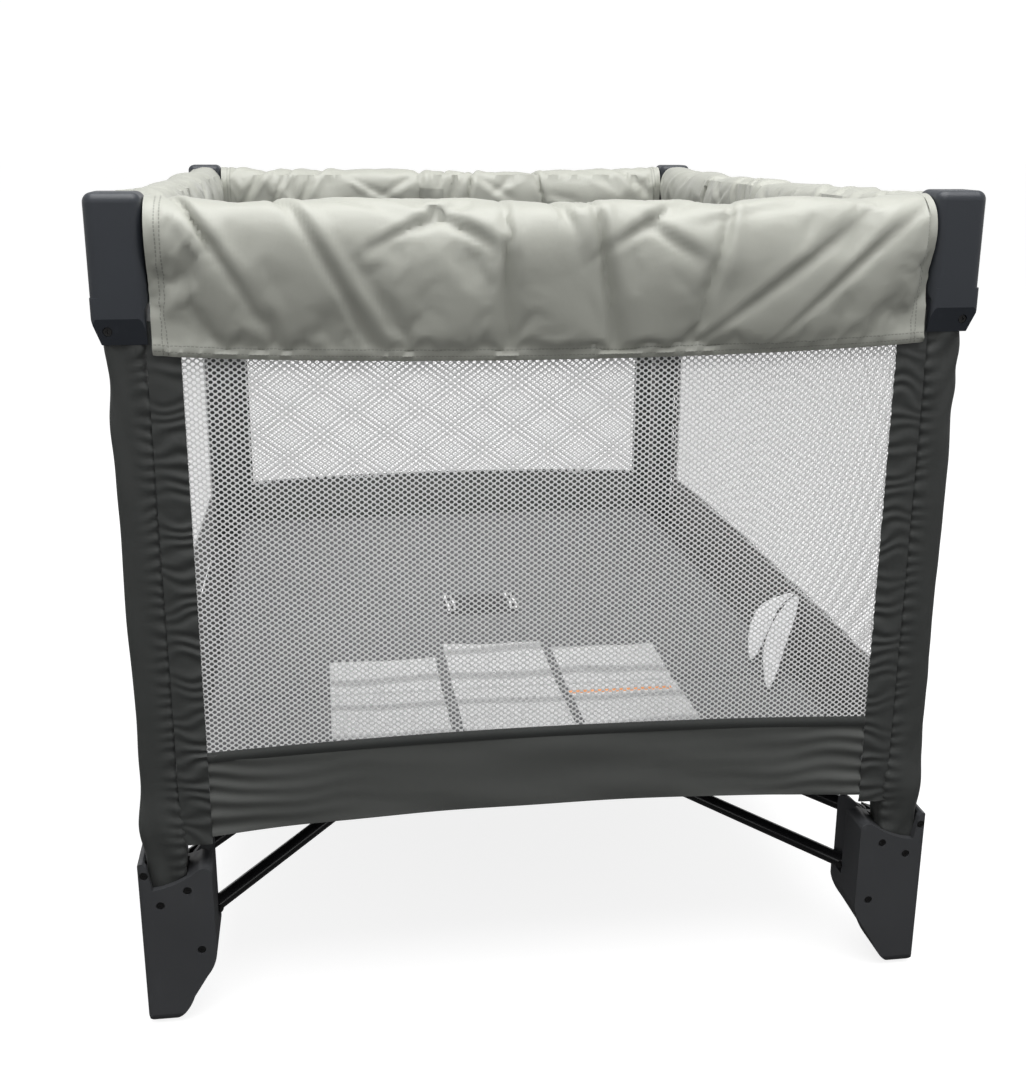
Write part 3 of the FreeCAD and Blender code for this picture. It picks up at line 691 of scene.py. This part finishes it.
# ---- post sleeves -------------------------------------------------------------------------------
class PLAYYARD_OT_post_sleeves(bpy.types.Operator):
    """Charcoal cloth sleeves over the posts, gathered along the crease beside each wall"""
    bl_idname = "playyard.post_sleeves"
    bl_label = "Post sleeves"

    def execute(self, context):
        look = settings().walls
        cloth = woven("sleeve_cloth", tuple(look.strip_colour), roughness=0.55, crush=0.5)
        for number, (corner, (sx, sy)) in enumerate(CORNERS.items()):
            node = "post_sleeve_" + corner
            bottom, top = low(node).z, high(node).z
            around, girth = self.section(104)
            heights = np.linspace(bottom, top, 190)
            u, v = np.meshgrid(np.linspace(0, girth, len(around)), heights)
            x = np.broadcast_to(around[:, 0], u.shape)
            y = np.broadcast_to(around[:, 1], u.shape)
            reach = 1 + self.relief(u, v, girth, bottom, top, number) / SLEEVE_HALF
            points = np.stack([sx * (POST_X + x * reach), sy * (POST_Y + y * reach), v], -1)
            if sx * sy > 0:
                points, u, v = points[:, ::-1], u[:, ::-1], v[:, ::-1]
            piece = skin("sleeve_" + corner, points, np.stack([u, v], -1), cloth, sharp=70)
            placed(piece, "post_" + corner, "sleeve_fabric", node)
        return {"FINISHED"}

    def section(self, count):
        """Rounded square round the post, starting at the inner corner; outer corner at +X +Y."""
        half, radius = SLEEVE_HALF - 0.9 * MM, 5 * MM
        inner = half - radius
        line = []
        for quarter, (cx, cy) in enumerate(((-1, -1), (1, -1), (1, 1), (-1, 1))):
            for step in range(7):
                angle = math.radians(180 + 90 * quarter + 15 * step)
                if quarter == 0 and step < 3:
                    continue
                line.append((cx * inner + radius * math.cos(angle),
                             cy * inner + radius * math.sin(angle)))
        for step in range(4):
            angle = math.radians(180 + 15 * step)
            line.append((-inner + radius * math.cos(angle), -inner + radius * math.sin(angle)))
        line = np.array(line)
        lengths = arc_lengths(line)
        even = np.linspace(0, lengths[-1], count)
        spaced = np.stack([np.interp(even, lengths, line[:, i]) for i in (0, 1)], -1)
        return spaced, lengths[-1]

    def relief(self, u, v, girth, bottom, top, seed):
        """Puckers beside the two wall creases, long soft folds, and gathers at the ends."""
        crease = np.minimum(abs(u - girth * 0.26), abs(u - girth * 0.74))
        puckers = np.sin(v * TURN / (11 * MM) + 2.2 * ripples(u, v, 50 * MM, seed))
        edge = np.exp(-(crease / (9 * MM)) ** 2)
        folds = ripples(u * 2.2, v * 0.35, 60 * MM, seed + 20)
        slant = ripples(u + v * 0.8, v * 0.4 - u, 34 * MM, seed + 40)
        near_end = np.exp(-(v - bottom) / (70 * MM)) + np.exp(-(top - v) / (60 * MM))
        tuck = ease((v - bottom) / (18 * MM))
        flare = 3.0 * np.exp(-((v - bottom - 62 * MM) / (26 * MM)) ** 2)
        relief = 0.9 * puckers * edge + 0.8 * folds + 2.3 * slant * near_end + flare
        return relief * MM * tuck - 0.4 * MM


# ---- walls --------------------------------------------------------------------------------------
class PLAYYARD_OT_walls(bpy.types.Operator):
    """Net walls with their gathered side strips, lower bands and bindings"""
    bl_idname = "playyard.walls"
    bl_label = "Walls"

    def execute(self, context):
        look = settings().walls
        self.net = net_cloth("net", look)
        self.dark = woven("strip_cloth", tuple(look.strip_colour), roughness=0.55, crush=0.5)
        self.band = woven("band_cloth", tuple(look.band_colour), roughness=0.52, crush=0.35)
        for number, side in enumerate(SIDES):
            self.wall(side, number, look)
        return {"FINISHED"}

    def wall(self, side, number, look):
        node = "wall_" + side.name
        top, bottom = high(node).z, low(node).z
        box_low, box_high = low(node), high(node)
        flat_axis = 1 if abs(side.turn[0][0]) else 0
        plane = abs((box_low + box_high)[flat_axis]) / 2 - side.post_line
        half = side.half - 0.6 * MM
        net_half = half - look.strip

        def arch(along, rise):
            return rise * (1 - (along / half) ** 2)

        def billow(along, z):
            middle_share = np.clip(1 - (along / half) ** 2, 0, 1)
            return plane + 1.1 * MM * ripples(along, z, 260 * MM, number + 3) * middle_share

        def panel(name, a0, a1, z_low, z_high, columns, rows, material, relief):
            share = np.linspace(0, 1, rows)[:, None]
            a = np.linspace(a0, a1, columns)[None, :] + 0 * share
            z = z_low(a) + (z_high(a) - z_low(a)) * share
            out = billow(a, z) + relief(a, z, share)
            uv = np.stack([a + half, z], -1)
            return skin(name, side.world(a, out, z), uv, material)

        def net_bottom(a):
            return look.band_top + arch(a, look.band_arch)

        def hem(a):
            return bottom + 2 * MM + arch(a, look.hem_arch)

        net = panel(node + "_net", -net_half - 3 * MM, net_half + 3 * MM,
                    lambda a: net_bottom(a) - 3 * MM, lambda a: top + 0 * a, 120, 70, self.net,
                    lambda a, z, s: 0 * a)

        def band_folds(a, z, s):
            end = np.exp(-(net_half - abs(a)) / (45 * MM))
            pleats = np.sin(z * TURN / (14 * MM) + 1.5 * ripples(a, z, 90 * MM, number + 9))
            sweep = ripples(a * 0.5, z * 2.4, 70 * MM, number + 12)
            return 0.5 * MM + (1.5 * pleats * end + 0.8 * sweep) * MM

        band = panel(node + "_band", -net_half, net_half, hem, net_bottom, 170, 40, self.band,
                     band_folds)
        thicken(band, 0.8 * MM)
        binding = panel(node + "_binding", -net_half, net_half,
                        lambda a: net_bottom(a) - look.binding * 0.75,
                        lambda a: net_bottom(a) + look.binding * 0.25, 170, 9, self.dark,
                        lambda a, z, s: (1.0 + 1.3 * np.sin(math.pi * s)) * MM)
        thicken(binding, 1.0 * MM)
        strips = []
        for end, sign in enumerate((-1, 1)):
            def gathers(a, z, s):
                across = (abs(a) - net_half) / look.strip
                wander = ripples(a, z, 40 * MM, number * 2 + end + 30)
                pleats = np.sin(z * TURN / (12 * MM) + 3.6 * wander)
                tucked = np.clip(1 - across, 0, 1)
                roll = 1.6 * np.sin(math.pi * np.clip(across, 0, 1))
                under_cover = ease((high(node).z - 16 * MM - z) / (26 * MM))
                depth = 0.9 + 0.4 * ripples(a, z, 90 * MM, number + end + 70)
                return (1.2 + roll + depth * pleats * (0.3 + 0.7 * tucked)) * MM * under_cover

            strip = panel("%s_strip_%s" % (node, "ab"[end]), sign * net_half,
                          sign * (half + 2.4 * MM),
                          lambda a: bottom - 3 * MM + 0 * a, lambda a: top + 0 * a, 15, 300,
                          self.dark, gathers)
            strips.append(thicken(strip, 1.0 * MM, 1.0 if sign < 0 else -1.0))
        for piece, nodes in ((net, [node]), (band, []), (binding, []), *((s, []) for s in strips)):
            placed(piece, side.body, "mesh_fabric", *nodes)
            fold_wall(piece, side)


def fold_wall(piece, side):
    """Give a piece of a wall its own copy of its mesh."""
    anchor = side.world(-side.half, 0.0, 0.4)
    side.vector(1, 0, 0)
    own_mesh(piece)


# ---- rail covers --------------------------------------------------------------------------------
# Cross sections from the outer hem, up over the padded rail, and down to the inner hem:
# (outside the post axis, above the hem at the caps), in millimetres.
END_SECTION = ((20, 0), (20.5, 9), (22, 26), (25.5, 52), (28.5, 78), (27, 101), (17.5, 115),
               (2, 121), (-12, 117.5), (-20.5, 101), (-19, 76), (-10, 48), (2, 22), (9.5, 8),
               (10.5, 0))
MIDDLE_SECTION = ((21, -9), (22, 0), (25, 19), (29.5, 45), (32.5, 71), (31, 93), (21, 109.5),
                  (2, 113), (-16, 110.5), (-24, 94), (-21, 70), (-11, 42), (2, 16), (9.5, 0),
                  (10.5, -9))
CREASES = (              # along (share of the half length), round (share), length, angle, depth
    (-0.86, 0.36, 0.100, -58, 3.4), (-0.60, 0.34, 0.150, -60, 3.8), (-0.30, 0.40, 0.060, 25, 3.0),
    (-0.22, 0.36, 0.055, -30, 3.2), (-0.12, 0.28, 0.085, -88, 3.4), (0.12, 0.30, 0.095, -80, 3.6),
    (0.24, 0.38, 0.060, 30, 3.2), (0.30, 0.33, 0.050, -35, 3.0), (0.42, 0.30, 0.085, -105, 3.4),
    (0.55, 0.42, 0.060, 10, 2.4), (0.62, 0.24, 0.110, 35, 2.2), (0.80, 0.26, 0.100, 40, 2.0),
    (-0.45, 0.44, 0.080, -20, 2.2), (0.02, 0.42, 0.070, -70, 2.4))


class PLAYYARD_OT_rail_covers(bpy.types.Operator):
    """Padded satin covers over the top rails, each in two halves that fold at the latch"""
    bl_idname = "playyard.rail_covers"
    bl_label = "Rail covers"

    def execute(self, context):
        look = settings().covers
        for number, side in enumerate(SIDES):
            self.cover(side, number, look)
        return {"FINISHED"}

    def cover(self, side, number, look):
        node = "rail_cover_" + side.name
        half = high(node)[0 if abs(side.turn[0][0]) else 1]
        base = low(node).z
        ends, mids = (curve_through(np.array(c) * MM, 72) for c in (END_SECTION, MIDDLE_SECTION))
        girth = arc_lengths(mids)[-1]
        columns = 2 * int(half / (3.0 * MM)) + 1
        a, s = np.meshgrid(np.linspace(-half, half, columns), np.linspace(0, 1, len(ends)))
        to_middle = (1 - (a / half) ** 2) ** 0.8
        out = ends[:, :1] + (mids[:, :1] - ends[:, :1]) * to_middle
        z = base + ends[:, 1:] + (mids[:, 1:] - ends[:, 1:]) * to_middle
        points = self.shaped(side, a, s, out, z, half, number, look, girth)
        uv = np.stack([a + half, s * girth], -1)
        cloth = cover_cloth("cover_cloth_" + side.name, look, 2 * half, girth)
        points = self.settled(points, uv, cloth, side, look)
        points = self.cleared(side, points, s, look)
        self.halves(node, side, points, uv, cloth, look)
        if side.name == "rear":
            self.patch(points, uv, half + 0.004, half + 0.040, 0.62, 0.70, "cover_label_rear",
                       side, 1, plain_label("cover_patch", tone(tuple(look.colour), 0.85)))
        if side.name == "left":
            self.patch(points, uv, half * 0.20, half * 0.20 + 0.032, 0.64, 0.74, "rail_label_left",
                       side, 0, plain_label("rail_patch", (0.8, 0.8, 0.8), (0.75, 0.25, 0.06)))

    def shaped(self, side, a, s, out, z, half, number, look, girth):
        """The cover with its ends tucked in, its bound hems and its creases."""
        from_end = half - abs(a)
        below = ease((RAIL_Z - 6 * MM - z) / (40 * MM))
        above_hem = ease((z - RAIL_Z + 92 * MM) / (20 * MM))
        tuck = 8 * MM * np.exp(-(from_end / (20 * MM)) ** 2) * below * above_hem * (s < 0.5)
        edge = np.minimum(s, 1 - s) * girth
        bead = 1.6 * MM * np.sin(math.pi * np.clip(edge / look.hem, 0, 1))
        groove = 1.3 * MM * np.exp(-((from_end - look.stitch_inset) / (2.2 * MM)) ** 2)
        gathers = 1.1 * MM * np.sin(z * TURN / (9 * MM) + 9 * ripples(a, z, 30 * MM, number))
        gathers = gathers * np.exp(-from_end / (14 * MM)) * below
        lift = self.creased(a, s, half, number) + bead - groove + gathers
        across, up = arc_direction(out, z)
        out = out - tuck + across * lift
        z = z + up * lift
        return side.world(a, out, z)

    def cleared(self, side, points, s, look):
        """Keep the skirts off the wall between them and the top off the rail."""
        out = side.outside(points)
        z = points[..., 2]
        wall = middle("wall_" + side.name)
        plane = max(abs(wall.x), abs(wall.y)) - side.post_line
        room = 1.6 * MM + look.skin
        skirt = ease((high("wall_front").z + 14 * MM - z) / (10 * MM))
        outer = out + np.maximum(plane + room - out, 0) * skirt
        inner = out - np.maximum(out - plane + room, 0) * skirt
        out = np.where(s < 0.5, outer, inner)
        over_rail = (abs(s - 0.5) < 0.12) & (abs(out) < 18 * MM)
        z = np.where(over_rail, np.maximum(z, RAIL_Z + 12.6 * MM), z)
        return side.world(side.along(points), out, z)

    def creased(self, a, s, half, number):
        """Padding swell, broad puckers and sharp creases, in metres along the outward normal."""
        girth = 0.27
        r = s * girth
        soft = ripples(a, r * 0.8, 120 * MM, number + 50) * 1.6
        soft += ripples(a, r, 55 * MM, number + 60) * 0.8
        loose = np.sin(math.pi * s) ** 0.7 * ease((half - abs(a)) / (60 * MM))
        lift = soft * loose
        mirror = -1 if number in (2,) else 1
        for place, share, size, angle, depth in CREASES:
            if number % 2:
                place = place * 0.9 + 0.07
            da = a - mirror * place * half
            for turn in ((0, 0.26) if number != 0 else (0,)):
                dr = (s - share - turn) * girth
                c, w = math.cos(math.radians(angle)), math.sin(math.radians(angle))
                run = (da * c * mirror + dr * w) / size
                across = -da * w * mirror + dr * c
                body = np.exp(-(run * 1.7) ** 2)
                width = np.clip(2.8 * MM + 2.6 * MM * (1 + run), 2.2 * MM, 7 * MM)
                valley = -np.exp(-(across / width) ** 2)
                ridge = 0.7 * np.exp(-((across - 1.7 * width) / (1.3 * width)) ** 2)
                lift = lift + depth * (valley + ridge) * body
        return lift * MM

    def settled(self, points, uv, cloth, side, look):
        """Let spare cloth buckle over the padding: hems and ends held, a little air inside."""
        rows, columns = points.shape[:2]
        piece = skin("settling_" + side.name, points, uv, cloth)
        held = piece.vertex_groups.new(name="held")
        index = np.arange(rows * columns).reshape(rows, columns)
        edge = np.concatenate([index[:2].ravel(), index[-2:].ravel(), index[:, :2].ravel(),
                               index[:, -2:].ravel()])
        held.add(np.unique(edge).tolist(), 1.0, "REPLACE")
        modifier = piece.modifiers.new("settle", "CLOTH")
        cloth_set = modifier.settings
        cloth_set.vertex_group_mass = "held"
        cloth_set.quality = 6
        cloth_set.mass = 0.15
        cloth_set.tension_stiffness = cloth_set.compression_stiffness = 25
        cloth_set.shear_stiffness = 8
        cloth_set.bending_stiffness = 0.25
        cloth_set.air_damping = 4
        cloth_set.use_pressure = True
        cloth_set.uniform_pressure_force = 1.2
        cloth_set.shrink_min = cloth_set.shrink_max = -look.extra
        cloth_set.effector_weights.gravity = 0.0
        modifier.collision_settings.use_collision = False
        modifier.point_cache.frame_start = 1
        modifier.point_cache.frame_end = look.frames
        scene = bpy.context.scene
        for step in range(1, look.frames + 1):
            scene.frame_set(step)
        graph = bpy.context.evaluated_depsgraph_get()
        mesh = piece.evaluated_get(graph).data
        moved = np.empty(rows * columns * 3, np.float32)
        mesh.vertices.foreach_get("co", moved)
        moved = moved.reshape(points.shape).astype(float)
        scene.frame_set(1)
        bpy.data.objects.remove(piece)
        change = moved - points
        size = np.linalg.norm(change, axis=-1, keepdims=True)
        cap = 9 * MM
        change = change * (cap * np.tanh(size / cap) / np.maximum(size, 1e-9))
        share = np.linspace(0, 1, rows)[:, None]
        crown = np.exp(-((share - 0.5) / 0.10) ** 2)
        sinks = np.minimum(change[..., 2], 0.0)
        change[..., 2] -= sinks * crown
        return points + change

    def halves(self, node, side, points, uv, cloth, look):
        centre = points.shape[1] // 2
        for end, cut in enumerate((slice(0, centre + 1), slice(centre, None))):
            name = "%s_%s" % (node, side.halves[end])
            piece = skin(name, points[:, cut], uv[:, cut], cloth, sharp=70)
            thicken(piece, look.skin)
            self.fold(piece, side, end, node)

    def fold(self, piece, side, end, *nodes):
        placed(piece, side.rail_body(end), "cover_fabric", *nodes)
        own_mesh(piece)

    def patch(self, points, uv, u0, u1, s0, s1, name, side, end, material):
        """A small sewn label that follows the cover's surface."""
        across = uv[0, :, 0]
        picked = np.where((across >= u0) & (across <= u1))[0]
        share = np.linspace(0, 1, len(points))
        taken = np.where((share >= s0) & (share <= s1))[0]
        surface = points[np.ix_(taken, picked)]
        du = np.gradient(surface, axis=1)
        dv = np.gradient(surface, axis=0)
        normal = np.cross(du, dv)
        normal /= np.linalg.norm(normal, axis=-1, keepdims=True)
        grid_uv = uv[np.ix_(taken, picked)]
        piece = skin(name, surface + normal * 0.9 * MM, grid_uv - grid_uv[0, 0], material)
        thicken(piece, 0.8 * MM)
        self.fold(piece, side, end)


def arc_direction(out, z):
    """Outward unit normal of each column's section, from its points."""
    tangent_out = np.gradient(out, axis=0)
    tangent_z = np.gradient(z, axis=0)
    size = np.maximum(np.hypot(tangent_out, tangent_z), 1e-9)
    return tangent_z / size, -tangent_out / size


# ---- floor --------------------------------------------------------------------------------------
RISE_RUN = 30 * MM       # how far in the floor's edge starts to rise to the walls' hems


class PLAYYARD_OT_floor(bpy.types.Operator):
    """Coated floor cloth in four sewn quarters that gather over the bars"""
    bl_idname = "playyard.floor"
    bl_label = "Floor cloth"

    def execute(self, context):
        look = settings().walls
        cloth = woven("floor_cloth", (0.045, 0.047, 0.045), roughness=0.45, crush=0.4)
        reach = high("floor_sheet")
        notch = SLEEVE_HALF + 0.6 * MM
        edge_x, edge_y = POST_X - notch, POST_Y - notch
        for number, (corner, (sx, sy)) in enumerate(CORNERS.items()):
            x, y = np.meshgrid(*(np.concatenate([np.linspace(0, edge, count),
                                                 np.linspace(edge, end, 9)[1:]])
                                 for edge, end, count in ((edge_x, reach.x, 70),
                                                          (edge_y, reach.y, 90))))
            sagged = 1.2 * MM * ripples(x, y, 190 * MM, number + 70)
            pull = np.clip(np.minimum(reach.x - x, reach.y - y) / (60 * MM), 0, 1)
            rises = [look.hem_arch * (1 - share ** 2) * ease(1 - inward / RISE_RUN)
                     for share, inward in ((y / edge_y, reach.x - x), (x / edge_x, reach.y - y))]
            z = FLOOR_Z + 1.2 * MM + sagged * pull - 1.2 * MM * pull
            z = z + np.maximum(np.maximum(*rises), 0.0)
            points = np.stack([sx * x, sy * y, z], -1)
            piece = skin("floor_cloth_" + corner, points, np.stack([x, y], -1), cloth)
            self.notch(piece, sx, sy, edge_x, edge_y)
            thicken(piece, 1.2 * MM, 0.0)
            placed(piece, "upper_bar_" + corner, "floor_fabric", "floor_sheet")
            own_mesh(piece)
        return {"FINISHED"}

    def notch(self, piece, sx, sy, edge_x, edge_y):
        """Cut out the corner that the post stands in."""
        work = bmesh.new()
        work.from_mesh(piece.data)
        inside = [f for f in work.faces if sx * f.calc_center_median().x > edge_x
                  and sy * f.calc_center_median().y > edge_y]
        bmesh.ops.delete(work, geom=inside, context="FACES")
        if sx * sy > 0:
            bmesh.ops.reverse_faces(work, faces=work.faces[:])
        bmesh.ops.recalc_face_normals(work, faces=work.faces[:])
        work.to_mesh(piece.data)
        work.free()


# ---- pad ----------------------------------------------------------------------------------------
class PLAYYARD_OT_pad(bpy.types.Operator):
    """Four padded panels of the folding mattress"""
    bl_idname = "playyard.pad"
    bl_label = "Pad"

    def execute(self, context):
        look = settings().pad
        cloth = pad_cloth("pad_cloth", look)
        for number in (1, 2, 3, 4):
            node = "pad_panel_%d" % number
            piece = self.panel(node, number, look, cloth)
            placed(piece, node, "pad_fabric", node)
        return {"FINISHED"}

    def panel(self, node, number, look, cloth):
        lo, hi = low(node), high(node)
        half_thick = (hi.z - lo.z) / 2
        mid_z = (hi.z + lo.z) / 2

        def spaced(start, end, count):
            round_edge = half_thick * (1 - np.cos(np.linspace(0, math.pi / 2, 7)))
            inner = np.linspace(start + half_thick, end - half_thick, count)
            return np.concatenate([start + round_edge[:-1], inner, end - round_edge[:-1][::-1]])

        xs, ys = spaced(lo.x, hi.x, 110), spaced(lo.y, hi.y, 44)
        x, y = np.meshgrid(xs, ys)
        edge = np.minimum(np.minimum(x - lo.x, hi.x - x), np.minimum(y - lo.y, hi.y - y))
        share = np.clip(edge / half_thick, 0, 1)
        bulge = half_thick * np.sqrt(np.clip(1 - (1 - share) ** 2, 0, 1))
        inside = ease(edge / (70 * MM))
        crown = look.crown * inside + 0.8 * MM * ripples(x, y, 110 * MM, number + 80) * inside
        puckers = 0.5 * MM * ripples(x, y, 24 * MM, number + 90)
        puckers = puckers * np.exp(-((edge - 10 * MM) / (16 * MM)) ** 2)
        top = mid_z + bulge + (crown - look.crown) * share + puckers * share
        bottom = mid_z - bulge
        return self.closed(node + "_cushion", x, y, top, bottom, cloth)

    def closed(self, name, x, y, top, bottom, cloth):
        """A closed pad whose top and bottom sheets meet along the rim."""
        rows, columns = x.shape
        index = np.arange(rows * columns).reshape(rows, columns)
        rim = np.ones(x.shape, bool)
        rim[1:-1, 1:-1] = False
        lower = np.where(rim, index, 0)
        lower[~rim] = rows * columns + np.arange((~rim).sum())
        quads_top = np.stack([index[:-1, :-1], index[:-1, 1:], index[1:, 1:], index[1:, :-1]], -1)
        quads_low = np.stack([lower[:-1, :-1], lower[1:, :-1], lower[1:, 1:], lower[:-1, 1:]], -1)
        quads = np.concatenate([quads_top.reshape(-1, 4), quads_low.reshape(-1, 4)])
        upper_points = np.stack([x, y, top], -1).reshape(-1, 3)
        lower_points = np.stack([x, y, bottom], -1)[~rim]
        points = np.concatenate([upper_points, lower_points])
        mesh = bpy.data.meshes.new(name)
        mesh.from_pydata(points.tolist(), [], quads.tolist())
        layer = mesh.uv_layers.new(name="cloth")
        flat = points[quads.reshape(-1)][:, :2]
        layer.data.foreach_set("uv", flat.astype(np.float32).ravel())
        return finished(name, mesh, cloth, 60)


# ---- pull strap and tag -------------------------------------------------------------------------
def ribbon(name, path, widths, width_way, material, thickness):
    """A flat strap along a path; widths gives its width at each point."""
    line = np.array(path)
    lengths = arc_lengths(line)
    share = np.linspace(-0.5, 0.5, 9)
    way = np.array(width_way, float)
    points = line[:, None, :] + (share[None, :, None] * np.array(widths)[:, None, None]) * way
    u = share[None, :] * np.array(widths)[:, None]
    v = np.broadcast_to(lengths[:, None], u.shape)
    piece = skin(name, points, np.stack([u, v], -1), material)
    return thicken(piece, thickness, 0.0)


class PLAYYARD_OT_pull_strap(bpy.types.Operator):
    """Webbing flap that lifts the hub through the slit in the pad, with light stitching"""
    bl_idname = "playyard.pull_strap"
    bl_label = "Pull strap"

    def execute(self, context):
        hi = high("pull_strap")
        web = webbing("strap_webbing", (0.020, 0.020, 0.022))
        thread = plain_label("strap_stitching", (0.85, 0.85, 0.85))
        half = hi.x - 1 * MM
        back = hi.y - 1 * MM

        def height(x, y):
            arch = 6 * MM * (1 - (x / half) ** 2) * np.sin(math.pi * np.clip(y / back, 0, 1))
            into_slit = 7 * MM * ease((9 * MM - y) / (9 * MM))
            return PAD_TOP + 2.2 * MM + arch - into_slit

        x, y = np.meshgrid(np.linspace(-half, half, 60), np.linspace(0.0, back, 40))
        strap = skin("pull_strap_webbing", np.stack([x, y, height(x, y)], -1),
                     np.stack([x, y], -1), web)
        thicken(strap, 1.6 * MM)
        placed(strap, "hub", "strap_webbing", "pull_strap")
        for number, place in enumerate((-half + 3 * MM, -half + 10 * MM, half - 10 * MM,
                                        half - 3 * MM)):
            run = np.linspace(5 * MM, back - 1 * MM, 24)
            line = [(place + 1.0 * MM * math.sin(v * 120), v, height(place, v) + 0.5 * MM)
                    for v in run]
            stitching = ribbon("strap_stitching_%d" % number, line, [2.6 * MM] * len(line),
                               (1, 0, 0), thread, 0.8 * MM)
            placed(stitching, "hub", "strap_webbing")
        return {"FINISHED"}


TAG_LEAVES = (           # along the wall, outside the post axis, and height, in millimetres
    ((-128, 13, 260), (-150, -22, 253), (-180, -45, 235), (-211, -62, 213)),
    ((-140, 13, 260), (-178, -12, 252), (-232, -44, 234), (-290, -69, 213)))


class PLAYYARD_OT_wall_tag(bpy.types.Operator):
    """Plain folded care tag sewn into the right wall above the band"""
    bl_idname = "playyard.wall_tag"
    bl_label = "Wall tag"

    def execute(self, context):
        side = SIDES[1]
        white = plain_label("tag_cloth", (0.90, 0.90, 0.91))
        for number, leaf in enumerate(TAG_LEAVES):
            line = curve_through(np.array(leaf) * MM, 26)
            share = np.linspace(0, 1, len(line))
            path = side.world(line[:, 0], line[:, 1], line[:, 2])
            widths = 3 * MM + 20 * MM * np.sin(math.pi * share) ** 0.7
            tag = ribbon("wall_tag_%d" % number, path, widths, side.vector(-0.45, 0.89, 0),
                         white, 0.5 * MM)
            placed(tag, side.body, "mesh_fabric")
            fold_wall(tag, side)
        return {"FINISHED"}


# ---- panel and registration ---------------------------------------------------------------------
BUILD = (PLAYYARD_OT_stage, PLAYYARD_OT_frame, PLAYYARD_OT_post_sleeves, PLAYYARD_OT_walls,
         PLAYYARD_OT_rail_covers, PLAYYARD_OT_floor, PLAYYARD_OT_pad, PLAYYARD_OT_pull_strap,
         PLAYYARD_OT_wall_tag)


class PLAYYARD_PT_build(bpy.types.Panel):
    """Lists the pieces in the order they are made"""
    bl_idname = "PLAYYARD_PT_build"
    bl_label = "Play yard"
    bl_space_type = "VIEW_3D"
    bl_region_type = "UI"
    bl_category = "Play yard"

    def draw(self, context):
        for operator in BUILD:
            self.layout.operator(operator.bl_idname, text=operator.bl_label)
        for group in ("covers", "walls", "pad", "frame", "stage"):
            box = self.layout.box()
            box.label(text=group.capitalize())
            values = getattr(context.scene.play_yard, group)
            for name in values.bl_rna.properties.keys():
                if name not in ("rna_type", "name"):
                    box.prop(values, name)


CLASSES = (CoverSettings, WallSettings, PadSettings, FrameSettings, StageSettings,
           PlayYardSettings, *BUILD, PLAYYARD_PT_build)


def register():
    for made in CLASSES:
        bpy.utils.register_class(made)
    bpy.types.Scene.play_yard = PointerProperty(type=PlayYardSettings)


def unregister():
    del bpy.types.Scene.play_yard
    for made in reversed(CLASSES):
        bpy.utils.unregister_class(made)


def main():
    register()
    for operator in BUILD:
        group, name = operator.bl_idname.split(".")
        getattr(getattr(bpy.ops, group), name)()


if __name__ == "__main__":
    main()
